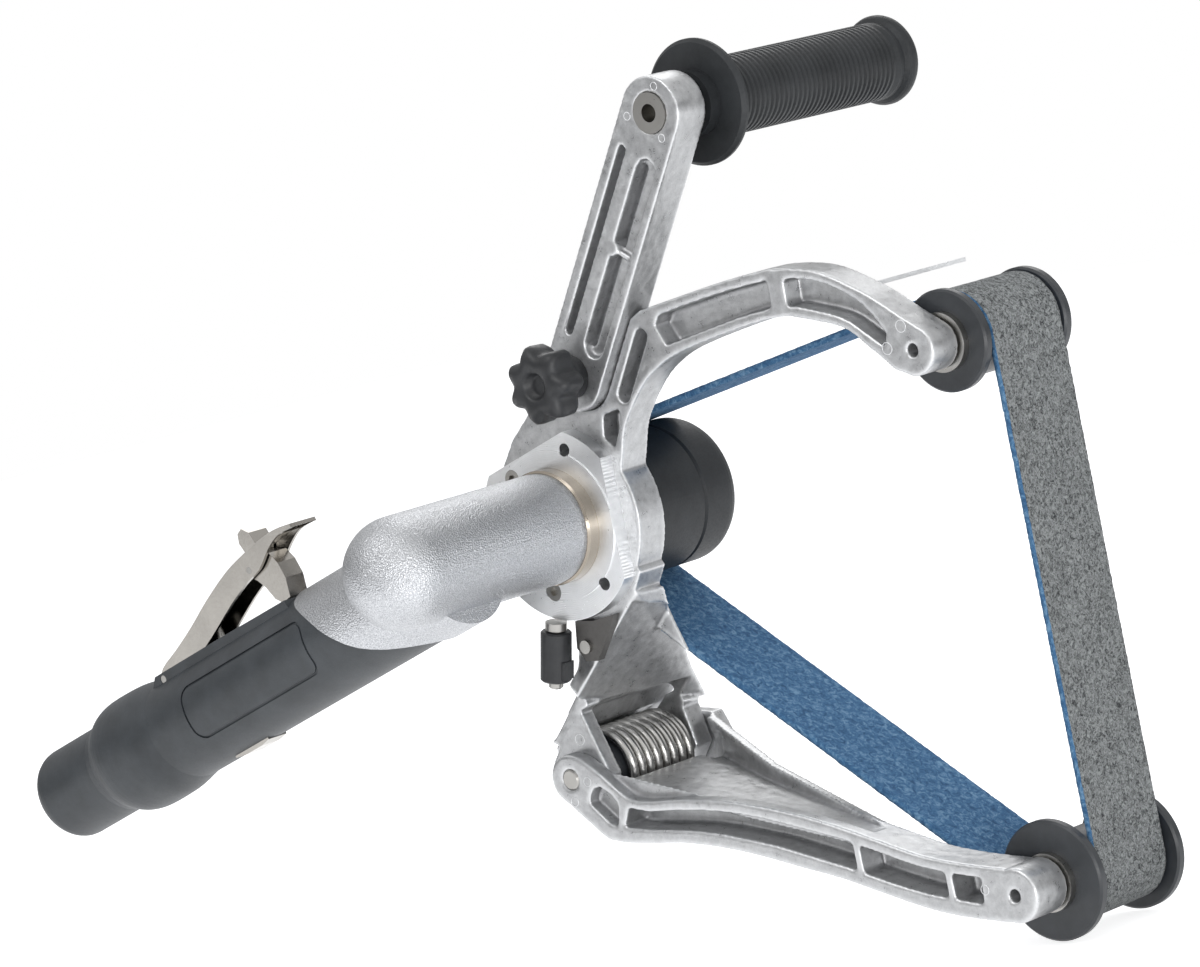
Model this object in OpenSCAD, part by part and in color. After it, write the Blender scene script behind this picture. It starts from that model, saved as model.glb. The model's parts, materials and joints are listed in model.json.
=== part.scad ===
// Air-powered pipe belt sander: a right-angle vane motor drives a rubber wheel, and an open
// abrasive belt runs from it over two nose rollers, so that the belt wraps a pipe.
// X points to the belt's front run, Y along every roller, Z along the front run, upwards.
// The origin is the spindle's axis on the near face of the mounting plate.

/* [Belt] */
// Distance between the two nose rollers' centres
nose_span = 200; // [190:1:210]
// Distance of the nose rollers in front of the spindle
reach = 183; // [176:1:190]
// Height of the top nose roller above the spindle
top_rise = 46.7; // [44:0.1:49]
// Width of the belt
belt_w = 40; // [36:1:42]
// Thickness of the nonwoven belt
belt_t = 2.5; // [2:0.1:2.8]
// Gap between the belt and what it runs on
belt_gap = 0.2; // [0.15:0.05:0.3]

/* [Rollers] */
// Radius of a roller's core
core_r = 15.3; // [14.5:0.1:15.5]
// Length of a roller's core
core_w = 43.4; // [42.6:0.2:46]
// Thickness of a roller's flange
rim_t = 4.2; // [3:0.1:5]
// Radius of the top roller's flanges
top_rim_r = 18.9; // [18.4:0.1:21]
// Radius of the bottom roller's flanges
bottom_rim_r = 22.6; // [20:0.1:24]
// Radius of the axles
axle_r = 4; // [3.5:0.1:4.4]
// Outer radius of a ball bearing
bearing_r = 11; // [10:0.1:11.5]
// Width of a ball bearing
bearing_w = 7; // [6:0.5:8]
// How far the outer bearing stands out of its roller
bearing_out = 2.8; // [2:0.1:3.2]

/* [Drive wheel] */
// Radius of the rubber drive wheel
wheel_r = 28.4; // [27:0.1:29]
// Thickness of the rubber on its hub
tyre_t = 6; // [4:0.5:8]
// Near end of the drive wheel
wheel_y = 28.5; // [27:0.5:29]
// Length of the drive wheel
wheel_w = 48.5; // [46:0.5:52]
// Radius of the spindle
spindle_r = 6; // [5:0.1:6.5]

/* [Mounting plate] */
// Radius of the mounting plate
plate_r = 37; // [36:0.5:39]
// Thickness of the mounting plate
plate_t = 7; // [6:0.5:8]
// Distance of the right flat from the spindle
plate_flat = 28.8; // [28:0.1:30]
// Circle of the tapped holes, diameter
tap_pcd = 61; // [58:0.5:62]
// Radius of a tapped hole
tap_r = 2.5; // [2:0.1:2.6]
// Radius of a plate screw's head
screw_head_r = 3.6; // [3:0.1:4]
// Distance of the plate screws from the spindle
screw_ring = 26.3; // [26:0.1:27]

/* [Frame] */
// Thickness of the cast frame
cast_t = 15; // [14:0.5:15.5]
// Radius of the bosses that hold the axles
boss_r = 9.4; // [9:0.1:10]
// Width of the rims round the pockets
rim_w = 4; // [3:0.25:4.5]
// Depth of the pockets
pocket_d = 9; // [6:0.5:11]
// Hinge pin behind the spindle
pin_x = -22.8; // [-24:0.1:-22]
// Hinge pin below the spindle
pin_z = -98.7; // [-101:0.1:-97]
// Radius of the hinge pin
pin_r = 4; // [3.5:0.1:4.5]
// Radius of the fork's eyes
eye_r = 12; // [11:0.1:12.5]
// Thickness of a fork ear
ear_t = 7; // [6:0.5:7.5]
// Width of the window between the ears
window_w = 44; // [42:0.5:45]

/* [Lower arm] */
// Near face of the lower arm
arm_y = 3.6; // [3.2:0.1:4]
// Thickness of the lower arm's cheeks
cheek_t = 7; // [6:0.5:7]
// Running gap between the arm and the fork
side_gap = 0.35; // [0.3:0.05:0.5]

/* [Torsion spring] */
// Outer radius of the coil
coil_r = 16.2; // [15.5:0.1:16.4]
// Thickness of the wire
wire_d = 3.3; // [2.8:0.1:3.4]
// Distance from turn to turn
coil_pitch = 3.8; // [3.75:0.05:3.9]
// Full turns in the coil
coil_turns = 8; // [6:1:8]

/* [Handle arm] */
// Pivot of the handle arm in front of the spindle
pivot_x = 22; // [21:0.1:23]
// Pivot of the handle arm above the spindle
pivot_z = 55; // [54:0.1:56]
// Length of the handle arm between its two centres
handle_len = 112.4; // [108:0.2:118]
// Lean of the handle arm from upright
handle_lean = 35; // [33:0.5:37]
// Width of the handle arm
handle_w = 27.5; // [26:0.1:28]
// Near face of the handle arm
handle_y = 2; // [1:0.1:3]
// Thickness of the handle arm
handle_t = 16; // [14:0.1:16]
// Radius of the threaded insert in the handle arm
insert_r = 7.7; // [7:0.1:8]
// Radius of the handle thread
handle_thread_r = 3.4; // [3:0.1:3.5]
// Radius of the star knob
knob_r = 15; // [14:0.1:16]
// Number of lobes on the star knob
knob_lobes = 7; // [5:1:9]

/* [Side grip] */
// Length of the grip from flange to end
grip_len = 114; // [105:1:120]
// Radius of the grip's body
grip_r = 15; // [14:0.1:15.5]
// Radius of the grip's flange
grip_flange_r = 23.85; // [22:0.1:25]
// Number of fine ribs
grip_ribs = 34; // [20:1:40]

/* [Gear head] */
// Radius of the gear housing
head_r = 21.5; // [21:0.1:22]
// Radius of the collar ring
collar_r = 22.2; // [22:0.1:22.6]
// Length of the collar ring
collar_w = 6; // [5:0.5:7]
// Distance from the mounting plate to the motor's axis
motor_y = 62; // [61:0.5:63]
// How far past the motor's axis the gear head's round end begins
head_over = 24; // [8:1:30]
// Tilt of the motor below the horizontal
motor_tilt = 17.25; // [16.5:0.25:18]
// Step of the motor's casing below the spindle
head_drop = 5; // [4.6:0.1:5.2]
// Teeth of the bevel gear
gear_teeth = 24; // [24:2:24]
// Teeth of the bevel pinion
pinion_teeth = 12; // [12:2:12]
// Tooth size of the bevel gears
gear_module = 1.25; // [1.2:0.05:1.25]

/* [Motor] */
// Radius of the motor's casing
case_r = 20.9; // [20.6:0.1:21.2]
// Radius of the cylinder in the casing
liner_r = 17; // [16.6:0.1:17.2]
// Radius of the rotor
rotor_r = 10.3; // [10:0.1:10.4]
// Length of the rotor
rotor_len = 48; // [44:1:50]
// Number of vanes
vane_count = 4; // [4:1:5]
// Radius of the rear collar
tail_r = 18.5; // [17.5:0.1:19]
// Length of the rear collar
tail_len = 42; // [38:1:46]
// Radius of the air inlet thread
inlet_r = 6.6; // [6:0.1:7]

/* [Hidden] */
$fn = 64;

aluminium = "#c3c7cb";
bright = "#e2e5e8";
steel = "#b5b3ae";
dark = "#33373b";
black = "#1b1b1d";

// Places that several pieces share
frame_y = plate_t;
frame_back = frame_y + cast_t;
roller_y = frame_back + 3.8;
roller_w = core_w + 2 * rim_t;
belt_mid = roller_y + roller_w / 2;
wheel = [0, 0];
top = [reach, top_rise];
bottom = [reach, top_rise - nose_span];
pin = [pin_x, pin_z];
pivot = [pivot_x, pivot_z];
grip_at = pivot + handle_len * [sin(handle_lean), cos(handle_lean)];
fit = 0.03;
ear_y = arm_y + cheek_t + side_gap;
far_ear_y = ear_y + ear_t + window_w;

// Round rod along Y
module rod(at, y, len, r) {
    translate([at[0], y + len, at[1]]) rotate([90, 0, 0]) cylinder(h = len, r = r);
}

// Flat outline in X and Z, given thickness along Y
module slab(y, len) {
    translate([0, y + len, 0]) rotate([90, 0, 0]) linear_extrude(len) children();
}

// Outline of [radius, y] turned about an axis along Y
module turned(at, points) {
    translate([at[0], 0, at[1]]) rotate([-90, 0, 0]) rotate_extrude() polygon(points);
}

// Smooth curve through a few points
function curve(p, n = 4) = [
    for (i = [0 : len(p) - 2], k = [0 : n - 1])
        let (a = p[max(i - 1, 0)], b = p[i], c = p[i + 1], d = p[min(i + 2, len(p) - 1)], t = k / n)
        ((2 * b) + (c - a) * t + (2 * a - 5 * b + 4 * c - d) * t * t
            + (3 * b - a - 3 * c + d) * t * t * t) / 2,
    p[len(p) - 1]
];

// Arc of n steps round a centre
function arc(c, r, a, b, n = 24) = [for (i = [0 : n]) c + r * [cos(a + (b - a) * i / n), sin(a + (b - a) * i / n)]];

// Direction from a to b in degrees
function heading(a, b) = atan2(b[1] - a[1], b[0] - a[0]);

// Lean of the straight run that touches two circles, going from a to b with the belt outside
function run_normal(a, ra, b, rb) = heading(a, b) - acos((ra - rb) / norm(b - a));

belt_wheel = wheel_r + belt_gap;
belt_core = core_r + belt_gap;
upper_run = run_normal(top, belt_core, wheel, belt_wheel) + 360;
lower_run = run_normal(wheel, belt_wheel, bottom, belt_core);

// Loop round the wheel and both rollers, grown by d
function belt_loop(d) = concat(
    arc(wheel, belt_wheel + d, upper_run, lower_run + 360),
    arc(bottom, belt_core + d, lower_run, 0),
    arc(top, belt_core + d, 0, upper_run)
);

module abrasive_belt() color("#6b7a86") slab(belt_mid - belt_w / 2, belt_w) difference() {
    polygon(belt_loop(belt_t));
    polygon(belt_loop(0));
}

// Rollers with their bearings and axles
bevel = 0.8;
module roller(at, rim) turned(at, [
    [bearing_r + fit, roller_y], [rim - bevel, roller_y], [rim, roller_y + bevel],
    [rim, roller_y + rim_t - bevel], [rim - bevel, roller_y + rim_t], [core_r, roller_y + rim_t],
    [core_r, roller_y + roller_w - rim_t], [rim - bevel, roller_y + roller_w - rim_t],
    [rim, roller_y + roller_w - rim_t + bevel], [rim, roller_y + roller_w - bevel],
    [rim - bevel, roller_y + roller_w], [bearing_r + fit, roller_y + roller_w],
    [bearing_r + fit, roller_y + roller_w - bearing_w - 1], [bearing_r - 2, roller_y + roller_w - bearing_w - 1],
    [bearing_r - 2, roller_y + bearing_w - bearing_out], [bearing_r + fit, roller_y + bearing_w - bearing_out]
]);

// Ball bearing with recessed shields
module bearing(at, y, inner, outer, w) turned(at, [
    [inner, y], [inner + 1.6, y], [inner + 1.9, y + 0.5], [outer - 2.1, y + 0.5], [outer - 1.8, y],
    [outer, y], [outer, y + w], [outer - 1.8, y + w], [outer - 2.1, y + w - 0.5],
    [inner + 1.9, y + w - 0.5], [inner + 1.6, y + w], [inner, y + w]
]);

module roller_bearings(at) {
    for (y = [roller_y - bearing_out, roller_y + roller_w - bearing_w - 1])
        bearing(at, y, axle_r + 0.05, bearing_r, bearing_w);
}

// Axle from the boss through both bearings, with its collar and end screw
axle_root = 6;
axle_head_r = 6.4;
module axle(at) turned(at, [
    [0, frame_back - axle_root], [axle_r, frame_back - axle_root], [axle_r, frame_back],
    [axle_head_r, frame_back], [axle_head_r, roller_y - bearing_out - 0.2],
    [axle_r, roller_y - bearing_out - 0.2], [axle_r, roller_y + roller_w - 0.8],
    [axle_head_r, roller_y + roller_w - 0.8], [axle_head_r, roller_y + roller_w + 1.6],
    [axle_head_r - 1, roller_y + roller_w + 2.6], [0, roller_y + roller_w + 2.6]
]);

module top_roller() color(dark) roller(top, top_rim_r);
module top_roller_bearings() color(steel) roller_bearings(top);
module top_axle() color(steel) axle(top);
module bottom_roller() color(dark) roller(bottom, bottom_rim_r);
module bottom_roller_bearings() color(steel) roller_bearings(bottom);
module bottom_axle() color(steel) axle(bottom);

// Drive wheel, its hub and the spindle
hub_r = wheel_r - tyre_t;
wheel_end = wheel_y + wheel_w;
tyre_round = 8;
groove_y = wheel_y + wheel_w * 0.55;
groove_d = 1;
module drive_wheel() color(black) turned(wheel, concat(
    [[hub_r, wheel_y], [wheel_r - 1, wheel_y], [wheel_r, wheel_y + 1], [wheel_r, groove_y - groove_d],
     [wheel_r - groove_d, groove_y], [wheel_r, groove_y + groove_d]],
    arc([wheel_r - tyre_round, wheel_end - tyre_round], tyre_round, 0, 72, 6),
    [[hub_r, wheel_end]]
));

hub_bore = spindle_r + fit;
hub_step = 8;
module wheel_hub() color(aluminium) turned(wheel, [
    [hub_bore, wheel_y - 2], [hub_bore + 5, wheel_y - 2], [hub_bore + 5, wheel_y], [hub_r, wheel_y],
    [hub_r, wheel_end], [hub_r - 3, wheel_end], [hub_r - 5, wheel_end - 3], [hub_bore + 5, wheel_end - 3],
    [hub_bore + 5, wheel_end - hub_step], [hub_bore, wheel_end - hub_step]
]);

tail_bearing_r = 9.5;
tail_bearing_w = 6;
tail_bearing_y = -motor_y - 18;
tail_shaft_r = 4;
spindle_bearing_r = 14;
spindle_bearing_w = 8;
spindle_bearing_y = -collar_w - spindle_bearing_w - 1;
screw_r = 2.9;
screw_len = 18;
spindle_end = wheel_end - hub_step;
module spindle() color(steel) difference() {
    turned(wheel, [
        [0, tail_bearing_y], [tail_shaft_r, tail_bearing_y], [tail_shaft_r, tail_bearing_y + tail_bearing_w + 1],
        [spindle_r, tail_bearing_y + tail_bearing_w + 2], [spindle_r, spindle_end], [0, spindle_end]
    ]);
    rod(wheel, spindle_end - screw_len, screw_len + 1, screw_r + fit);
}

screw_head = 9;
module wheel_screw() color(steel) difference() {
    turned(wheel, [
        [0, spindle_end - screw_len + 1], [screw_r, spindle_end - screw_len + 1], [screw_r, spindle_end],
        [screw_head, spindle_end], [screw_head, spindle_end + 3.5], [screw_head - 1, spindle_end + 4.5],
        [0, spindle_end + 4.5]
    ]);
    translate([0, spindle_end + 6, 0]) rotate([90, 0, 0]) cylinder(h = 4, r = 3.4, $fn = 6);
}

module spindle_bearings() color(steel) {
    bearing(wheel, spindle_bearing_y, spindle_r + 0.03, spindle_bearing_r, spindle_bearing_w);
    bearing(wheel, tail_bearing_y, tail_shaft_r + 0.03, tail_bearing_r, tail_bearing_w);
}

// Bevel gears, with the cone's point where the two shafts cross
gear_pitch_r = gear_module * gear_teeth / 2;
pinion_pitch_r = gear_module * pinion_teeth / 2;
cone_len = norm([gear_pitch_r, pinion_pitch_r]);
face_w = 5;
tooth_top = 0.7 * gear_module;
tooth_root = 0.95 * gear_module;
tooth_half = 0.32 * gear_module;

// Cone with teeth along Z, its point at the origin
module bevel(teeth, lean, bore, hub, turn = 0) {
    inner = cone_len - face_w;
    difference() {
        union() {
            rotate_extrude() polygon([
                [0, cone_len * cos(lean) + tooth_root * sin(lean)],
                cone_len * [sin(lean), cos(lean)] - tooth_root * [cos(lean), -sin(lean)],
                inner * [sin(lean), cos(lean)] - tooth_root * inner / cone_len * [cos(lean), -sin(lean)],
                [0, inner * cos(lean) + tooth_root * inner / cone_len * sin(lean)]
            ]);
            for (i = [0 : teeth - 1]) rotate([0, 0, turn + i * 360 / teeth]) rotate([0, lean, 0])
                translate([0, 0, cone_len]) mirror([0, 0, 1]) linear_extrude(face_w, scale = inner / cone_len)
                    polygon([
                        [-tooth_root - 0.4, -2.1 * tooth_half], [tooth_top, -0.8 * tooth_half],
                        [tooth_top, 0.8 * tooth_half], [-tooth_root - 0.4, 2.1 * tooth_half]
                    ]);
            translate([0, 0, cone_len * cos(lean)]) cylinder(h = hub[1], r = hub[0]);
        }
        translate([0, 0, -1]) cylinder(h = cone_len * 2 + hub[1], r = bore);
    }
}

gear_hub = [10, 8];
module bevel_gear() color(steel) translate([0, -motor_y, 0]) rotate([-90, 0, 0])
    bevel(gear_teeth, atan(gear_teeth / pinion_teeth), spindle_r + fit, gear_hub, -motor_tilt);

// Mounting plate, collar and screws
module plate_outline() difference() {
    circle(plate_r);
    translate([plate_flat, -plate_r]) square([plate_r, 2 * plate_r]);
    rotate(motor_tilt) translate([-plate_r, plate_top]) square([2 * plate_r, plate_r]);
}
plate_top = 29.8;
plate_bore = 10;
tap_first = 67.3;
screw_angles = [-107.6, 132.4, 172];
function on_ring(r, a) = r * [cos(a), sin(a)];

module mounting_plate() color(bright) difference() {
    union() {
        slab(0.6, plate_t - 0.6) plate_outline();
        slab(0, plate_t - 1) intersection() { plate_outline(); circle(tap_pcd / 2 - 1.5); }
    }
    rod(wheel, -1, plate_t + 2, plate_bore);
    for (i = [0 : 2]) rod(on_ring(tap_pcd / 2, tap_first + 120 * i), -1, plate_t + 2, tap_r);
    for (a = screw_angles) {
        rod(on_ring(screw_ring, a), -1, plate_t + 2, screw_r + 0.2);
        rod(on_ring(screw_ring, a), -1, 1 + 3, screw_head_r + 0.2);
    }
}

module plate_screws() color(steel) for (a = screw_angles) difference() {
    union() {
        rod(on_ring(screw_ring, a), 0.2, 2.8, screw_head_r);
        rod(on_ring(screw_ring, a), 1, plate_t + 8, screw_r - 0.1);
    }
    translate([on_ring(screw_ring, a)[0], 1.8, on_ring(screw_ring, a)[1]]) rotate([90, 0, 0])
        cylinder(h = 3, r = 1.9, $fn = 6);
}

spigot_r = 17.5;
spigot_end = spindle_bearing_y - 2;
module collar_ring() color("#b9b0a0") turned(wheel, [
    [plate_bore, 0], [collar_r, 0], [collar_r, -collar_w + 0.8], [collar_r - 0.8, -collar_w],
    [spigot_r, -collar_w], [spigot_r, spigot_end], [spindle_bearing_r - 2, spigot_end],
    [spindle_bearing_r - 2, spindle_bearing_y], [spindle_bearing_r, spindle_bearing_y],
    [spindle_bearing_r, -collar_w - 1], [plate_bore, -collar_w - 1]
]);

// Frame casting: hub, shoulder, upper arm and fork
shoulder_gap = 0.4;
handle_dir = [sin(handle_lean), cos(handle_lean)];
handle_side = [cos(handle_lean), -sin(handle_lean)];
handle_clear = handle_w / 2 + shoulder_gap;

upper_arm_top = [
    top + [-2.5, 12.8], top + [-10.4, 18.6], top + [-18.5, 23.9], top + [-35.3, 32.5],
    top + [-49, 35.7], top + [-63, 36.5], [99.6, 81.4], [78.9, 78.6], [57, 75.4]
];
upper_arm_bottom = [
    [34.4, 22.7], [38.9, 33.8], [49.9, 46.1], [59.3, 52.7], [73.4, 58], [104.7, 63.6],
    top + [-58.2, 18.8], top + [-48.9, 17.2], top + [-31, 12.1], top + [-23, 6.4], top + [-9.6, -6]
];
hub_edge = [[-20, -31], [0, -37], [24.6, -32.3], [31.5, -22], [28.7, -17.2], [27.2, -9.3], [30.8, 13.5]];
left_edge = [[-1.5, 47.5], [-7.7, 44.2], [-20.2, 33.8], [-31, 20]];

module casting_outline() {
    polygon(concat(hub_edge, curve(upper_arm_bottom, 3), arc(top, boss_r, -104, 45, 14),
        curve(upper_arm_top, 3), left_edge));
    circle(plate_r - 0.8);
    translate(pivot) circle(handle_w / 2);
}

// Room in front of the casting for the handle arm and its swing
module handle_room() {
    translate(pivot) circle(handle_clear);
    polygon([
        pivot + handle_clear * handle_side, pivot + handle_clear * handle_side + handle_len * handle_dir,
        pivot + [-handle_len, handle_len], pivot + [-handle_len, 0], pivot + [0, -handle_clear]
    ]);
}

panel_a = concat(
    curve([[67, 61.2], [76, 62.6], [104, 67.4], [121, 69]], 2),
    curve([[121.5, 79.4], [100, 77.6], [79, 74.8], [66, 72.6]], 2), [[63.4, 69]]
);
panel_b = concat(
    curve([top + [-54, 22], top + [-48, 21.2], top + [-30, 15.6], top + [-21, 9.4], top + [-12.5, 2.6]], 3),
    curve([top + [-10.6, 7.4], top + [-19, 19], top + [-34, 28.2], top + [-48, 31.8], top + [-53.5, 31.8]], 3)
);
slot_a = [41.2, 45];
slot_b = [55.5, 65.8];
slot_w = 6;
web_pocket = [[28.6, 38.6], [37.4, 40], [37.2, 36], [31.2, 25.6], [26.8, 29.8]];

// Slot with round ends between two points
module slot(a, b, w) {
    translate(a) circle(w / 2);
    translate(b) circle(w / 2);
    translate(a) rotate(heading(a, b)) translate([0, -w / 2]) square([norm(b - a), w]);
}

// Outline of a slot with round ends
function round_ended(a, b, w) = let (h = heading(a, b))
    concat(arc(a, w / 2, h + 90, h + 270, 10), arc(b, w / 2, h - 90, h + 90, 10));

module pockets() {
    polygon(panel_a);
    polygon(panel_b);
    polygon(round_ended(slot_a, slot_b, slot_w));
    polygon(web_pocket);
}

// Solid through rings of four corners, each ring running the same way, from the lowest up
module block(rings) {
    n = len(rings) - 1;
    polyhedron([for (ring = rings) each ring], concat(
        [[0, 1, 2], [0, 2, 3], [4 * n + 3, 4 * n + 2, 4 * n + 1], [4 * n + 3, 4 * n + 1, 4 * n]],
        [for (i = [0 : n - 1], k = [0 : 3]) [4 * i + 4 + k, 4 * i + 4 + (k + 1) % 4, 4 * i + (k + 1) % 4]],
        [for (i = [0 : n - 1], k = [0 : 3]) [4 * i + 4 + k, 4 * i + (k + 1) % 4, 4 * i + k]]
    ));
}

far_ear_t = ear_t + 3;
belt_near = roller_y + rim_t + 1;
far_side = far_ear_y + far_ear_t;
fork_top_z = pin_z + 31;
gusset_z = -30;
waist_z = gusset_z - 26;
window_top = fork_top_z - 5.5;
module gusset() block([
    [[-18, ear_y + 2, fork_top_z - 2.5], [-13.8, frame_y, fork_top_z],
     [-11.7, far_side + 5.5, fork_top_z - 15.1], [-19, far_side + 5.5, fork_top_z - 16.5]],
    [[-12, frame_y + 2, waist_z], [-1.1, frame_y, waist_z], [22.5, belt_near, waist_z + 1], [6, belt_near, waist_z + 1]],
    [[-2, frame_y, gusset_z], [27.1, frame_y, gusset_z], [29.5, frame_back - 1, gusset_z], [-2, frame_back - 1, gusset_z]]
]);

module ear_outline(front) polygon(concat(
    front, [pin + [14.5, -1]],
    arc(pin, eye_r, -30, -150, 12),
    [pin + [-15, 4.4]]
));
near_ear = [[-18, fork_top_z - 1], [-13, fork_top_z + 4], [-17.8, fork_top_z - 5.3]];
far_ear = [[-20, fork_top_z - 11], [-13, fork_top_z - 9], [-8, fork_top_z - 11], [-11.5, fork_top_z - 16]];

module main_frame() color(aluminium) difference() {
    union() {
        slab(frame_y, cast_t) casting_outline();
        rod(pivot, frame_back - 1, 4, 10);
        gusset();
        slab(ear_y, ear_t) ear_outline(near_ear);
        slab(far_ear_y, far_ear_t) ear_outline(far_ear);
    }
    slab(frame_y - 1, handle_y + handle_t + side_gap - frame_y + 1) handle_room();
    slab(frame_y - 1, pocket_d + 1) pockets();
    rod(wheel, frame_y - 1, cast_t + 2, spindle_bearing_r);
    rod(top, frame_back - axle_root, axle_root + 1, axle_r + fit);
    rod(top, frame_y - 1, tip_thread_d + 1, tip_thread_r);
    rod(pivot, frame_y, cast_t + 6, knob_stud_r + fit);
    rod(pin, ear_y - 1, far_side - ear_y + 2, pin_r + fit);
    translate([-60, ear_y + ear_t, -150]) cube([53, window_w, 150 + window_top]);
    translate([-60, ear_y + ear_t, -150]) cube([70, window_w, 150 + fork_top_z - 16]);
    for (a = screw_angles) rod(on_ring(screw_ring, a), frame_y - 1, 11, screw_r - 0.07);
    for (a = [0 : 2]) rod(on_ring(tap_pcd / 2, tap_first + 120 * a), frame_y - 1, 6, tap_r);
}
tip_thread_r = 2.5;
tip_thread_d = 8;
knob_stud_r = 4;

// Hinge pin, sleeve and torsion spring
pin_end = far_side + side_gap + cheek_t;
module hinge_pin() color(steel) turned(pin, [
    [0, arm_y], [pin_r - 0.6, arm_y], [pin_r, arm_y + 0.6], [pin_r, pin_end - 0.6],
    [pin_r - 0.6, pin_end], [0, pin_end]
]);

curl_rings = 8;
coil_mid = coil_r - wire_d / 2;
sleeve_r = coil_mid * cos(180 / curl_rings) - wire_d / 2 - 0.3;
module spring_sleeve() color(dark) turned(pin, [
    [pin_r + fit, ear_y + ear_t + 0.1], [sleeve_r, ear_y + ear_t + 0.1],
    [sleeve_r, far_ear_y - 0.1], [pin_r + fit, far_ear_y - 0.1]
]);

// Unbroken wire: a leg under the gusset, the coil, and a leg on the arm's deck
coil_len = coil_pitch * coil_turns;
coil_y = ear_y + ear_t + (window_w - coil_len) / 2;
leg_len = 12;
coil_start = 200;
function coil_point(i) =
    let (a = coil_start - i * 360 / curl_rings)
    [pin_x + coil_mid * cos(a), coil_y + i * coil_pitch / curl_rings, pin_z + coil_mid * sin(a)];
coil_count = coil_turns * curl_rings;
function leg_dir(i, way) =
    let (a = coil_start - i * 360 / curl_rings)
    way * [-sin(a), 0, cos(a)];
coil_path = concat(
    [coil_point(0) + leg_len * leg_dir(0, 1)],
    [for (i = [0 : coil_count]) coil_point(i)],
    [coil_point(coil_count) + leg_len * leg_dir(coil_count, -1)]
);

// Tube of six sides along a path that keeps clear of the Y direction
function tube_ring(p, i, r) =
    let (
        d = p[min(i + 1, len(p) - 1)] - p[max(i - 1, 0)],
        side = cross(d, [0, 1, 0]) / norm(cross(d, [0, 1, 0])),
        lift = cross(side, d) / norm(cross(side, d))
    ) [for (k = [0 : 5]) p[i] + r * (side * cos(60 * k) + lift * sin(60 * k))];
module tube(p, r) {
    rings = [for (i = [0 : len(p) - 1]) each tube_ring(p, i, r)];
    n = len(p);
    polyhedron(rings, concat(
        [for (k = [1 : 4]) [0, k, k + 1]],
        [for (k = [1 : 4]) [6 * (n - 1), 6 * (n - 1) + k + 1, 6 * (n - 1) + k]],
        [for (i = [0 : n - 2], k = [0 : 5]) [6 * i + k, 6 * (i + 1) + k, 6 * (i + 1) + (k + 1) % 6]],
        [for (i = [0 : n - 2], k = [0 : 5]) [6 * i + k, 6 * (i + 1) + (k + 1) % 6, 6 * i + (k + 1) % 6]]
    ));
}
module torsion_spring() color(steel) tube(coil_path, wire_d / 2);
coil_gap = min([for (i = [0 : coil_count - curl_rings], j = [i + curl_rings - 2 : min(i + curl_rings + 2, coil_count)])
    norm(coil_point(i) - coil_point(j))]) - wire_d;
echo(least_gap_of_the_spring_to_itself = coil_gap);

// Lower arm: near beam with its channel, deck over the fork, far cheek and rib
arm_beam_t = frame_back - arm_y;
arm_top_edge = [
    pin + [3.4, 8.9], pin + [7.2, 7.5], pin + [16, 1.1], pin + [26.6, -8.1], pin + [36.3, -10.5],
    pin + [54.3, -10.7], pin + [74.2, -12.2], pin + [93.4, -15.5], bottom + [-93.7, 34.7],
    bottom + [-75.5, 29.2], bottom + [-57.7, 23], bottom + [-40.1, 16.9], bottom + [-22.1, 13.1], bottom + [-3, 10.4]
];
arm_bottom_edge = [
    bottom + [-4, -9.8], bottom + [-27, -6.5], bottom + [-44.9, -2], bottom + [-62.5, 4],
    bottom + [-80.4, 10.1], bottom + [-98.8, 15.1], pin + [88.5, -34.3], pin + [69.5, -30.1],
    pin + [49.8, -27.4], pin + [29.4, -26.6], pin + [15.2, -24.7], pin + [9.9, -21.3], pin + [1.4, -13.8], pin + [-7.1, -6.2]
];
tip_boss_r = 10.3;
module arm_outline() {
    polygon(concat(curve(arm_top_edge, 3), curve(arm_bottom_edge, 3)));
    translate(pin) circle(pin_eye_r);
    translate(bottom) circle(tip_boss_r);
}
pin_eye_r = 9.7;

arm_channel = concat(
    curve([pin + [23, -20], pin + [36, -21.5], pin + [52, -22.4], pin + [71, -24.8], pin + [98, -30.8]], 2),
    curve([bottom + [-76, 14.2], bottom + [-58, 8], bottom + [-40, 2.6], bottom + [-15, -2.4]], 2),
    curve([bottom + [-14, 7.4], bottom + [-24, 9], bottom + [-42, 12.8], bottom + [-59, 18.8], bottom + [-77, 25]], 2),
    curve([pin + [108, -24], pin + [92, -19.8], pin + [73, -16.4], pin + [54, -14.9], pin + [37, -14.6], pin + [27, -12.4]], 2)
);
rib_x = [113, 154];
channel_d = 13;

deck_t = 5;
deck_rear = 18.2;
deck_far = 75;
module arm_deck() difference() {
    union() {
        block([
            [[-8, arm_y + cheek_t - 1, pin_z - 12], [40, arm_y + cheek_t - 1, pin_z - 15],
             [40, 53, pin_z - 15], [-8, deck_far, pin_z - 12]],
            [[-8, arm_y + cheek_t - 1, pin_z + 1], [40, arm_y + cheek_t - 1, pin_z - 11.5],
             [40, 51, pin_z - 7], [-8, deck_far - 1, pin_z + 10]]
        ]);
        block([
            [[39, arm_y + 6, pin_z - 16], [118, arm_y + 6, pin_z - 36], [118, frame_back, pin_z - 36], [39, 53, pin_z - 15]],
            [[39, arm_y + 6, pin_z - 11.4], [118, arm_y + 6, pin_z - 29.4], [118, frame_back - 1, pin_z - 29], [39, 51, pin_z - 7]]
        ]);
    }
    rod(pin, ear_y - side_gap, far_side - ear_y + 2 * side_gap, deck_rear);
}

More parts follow.
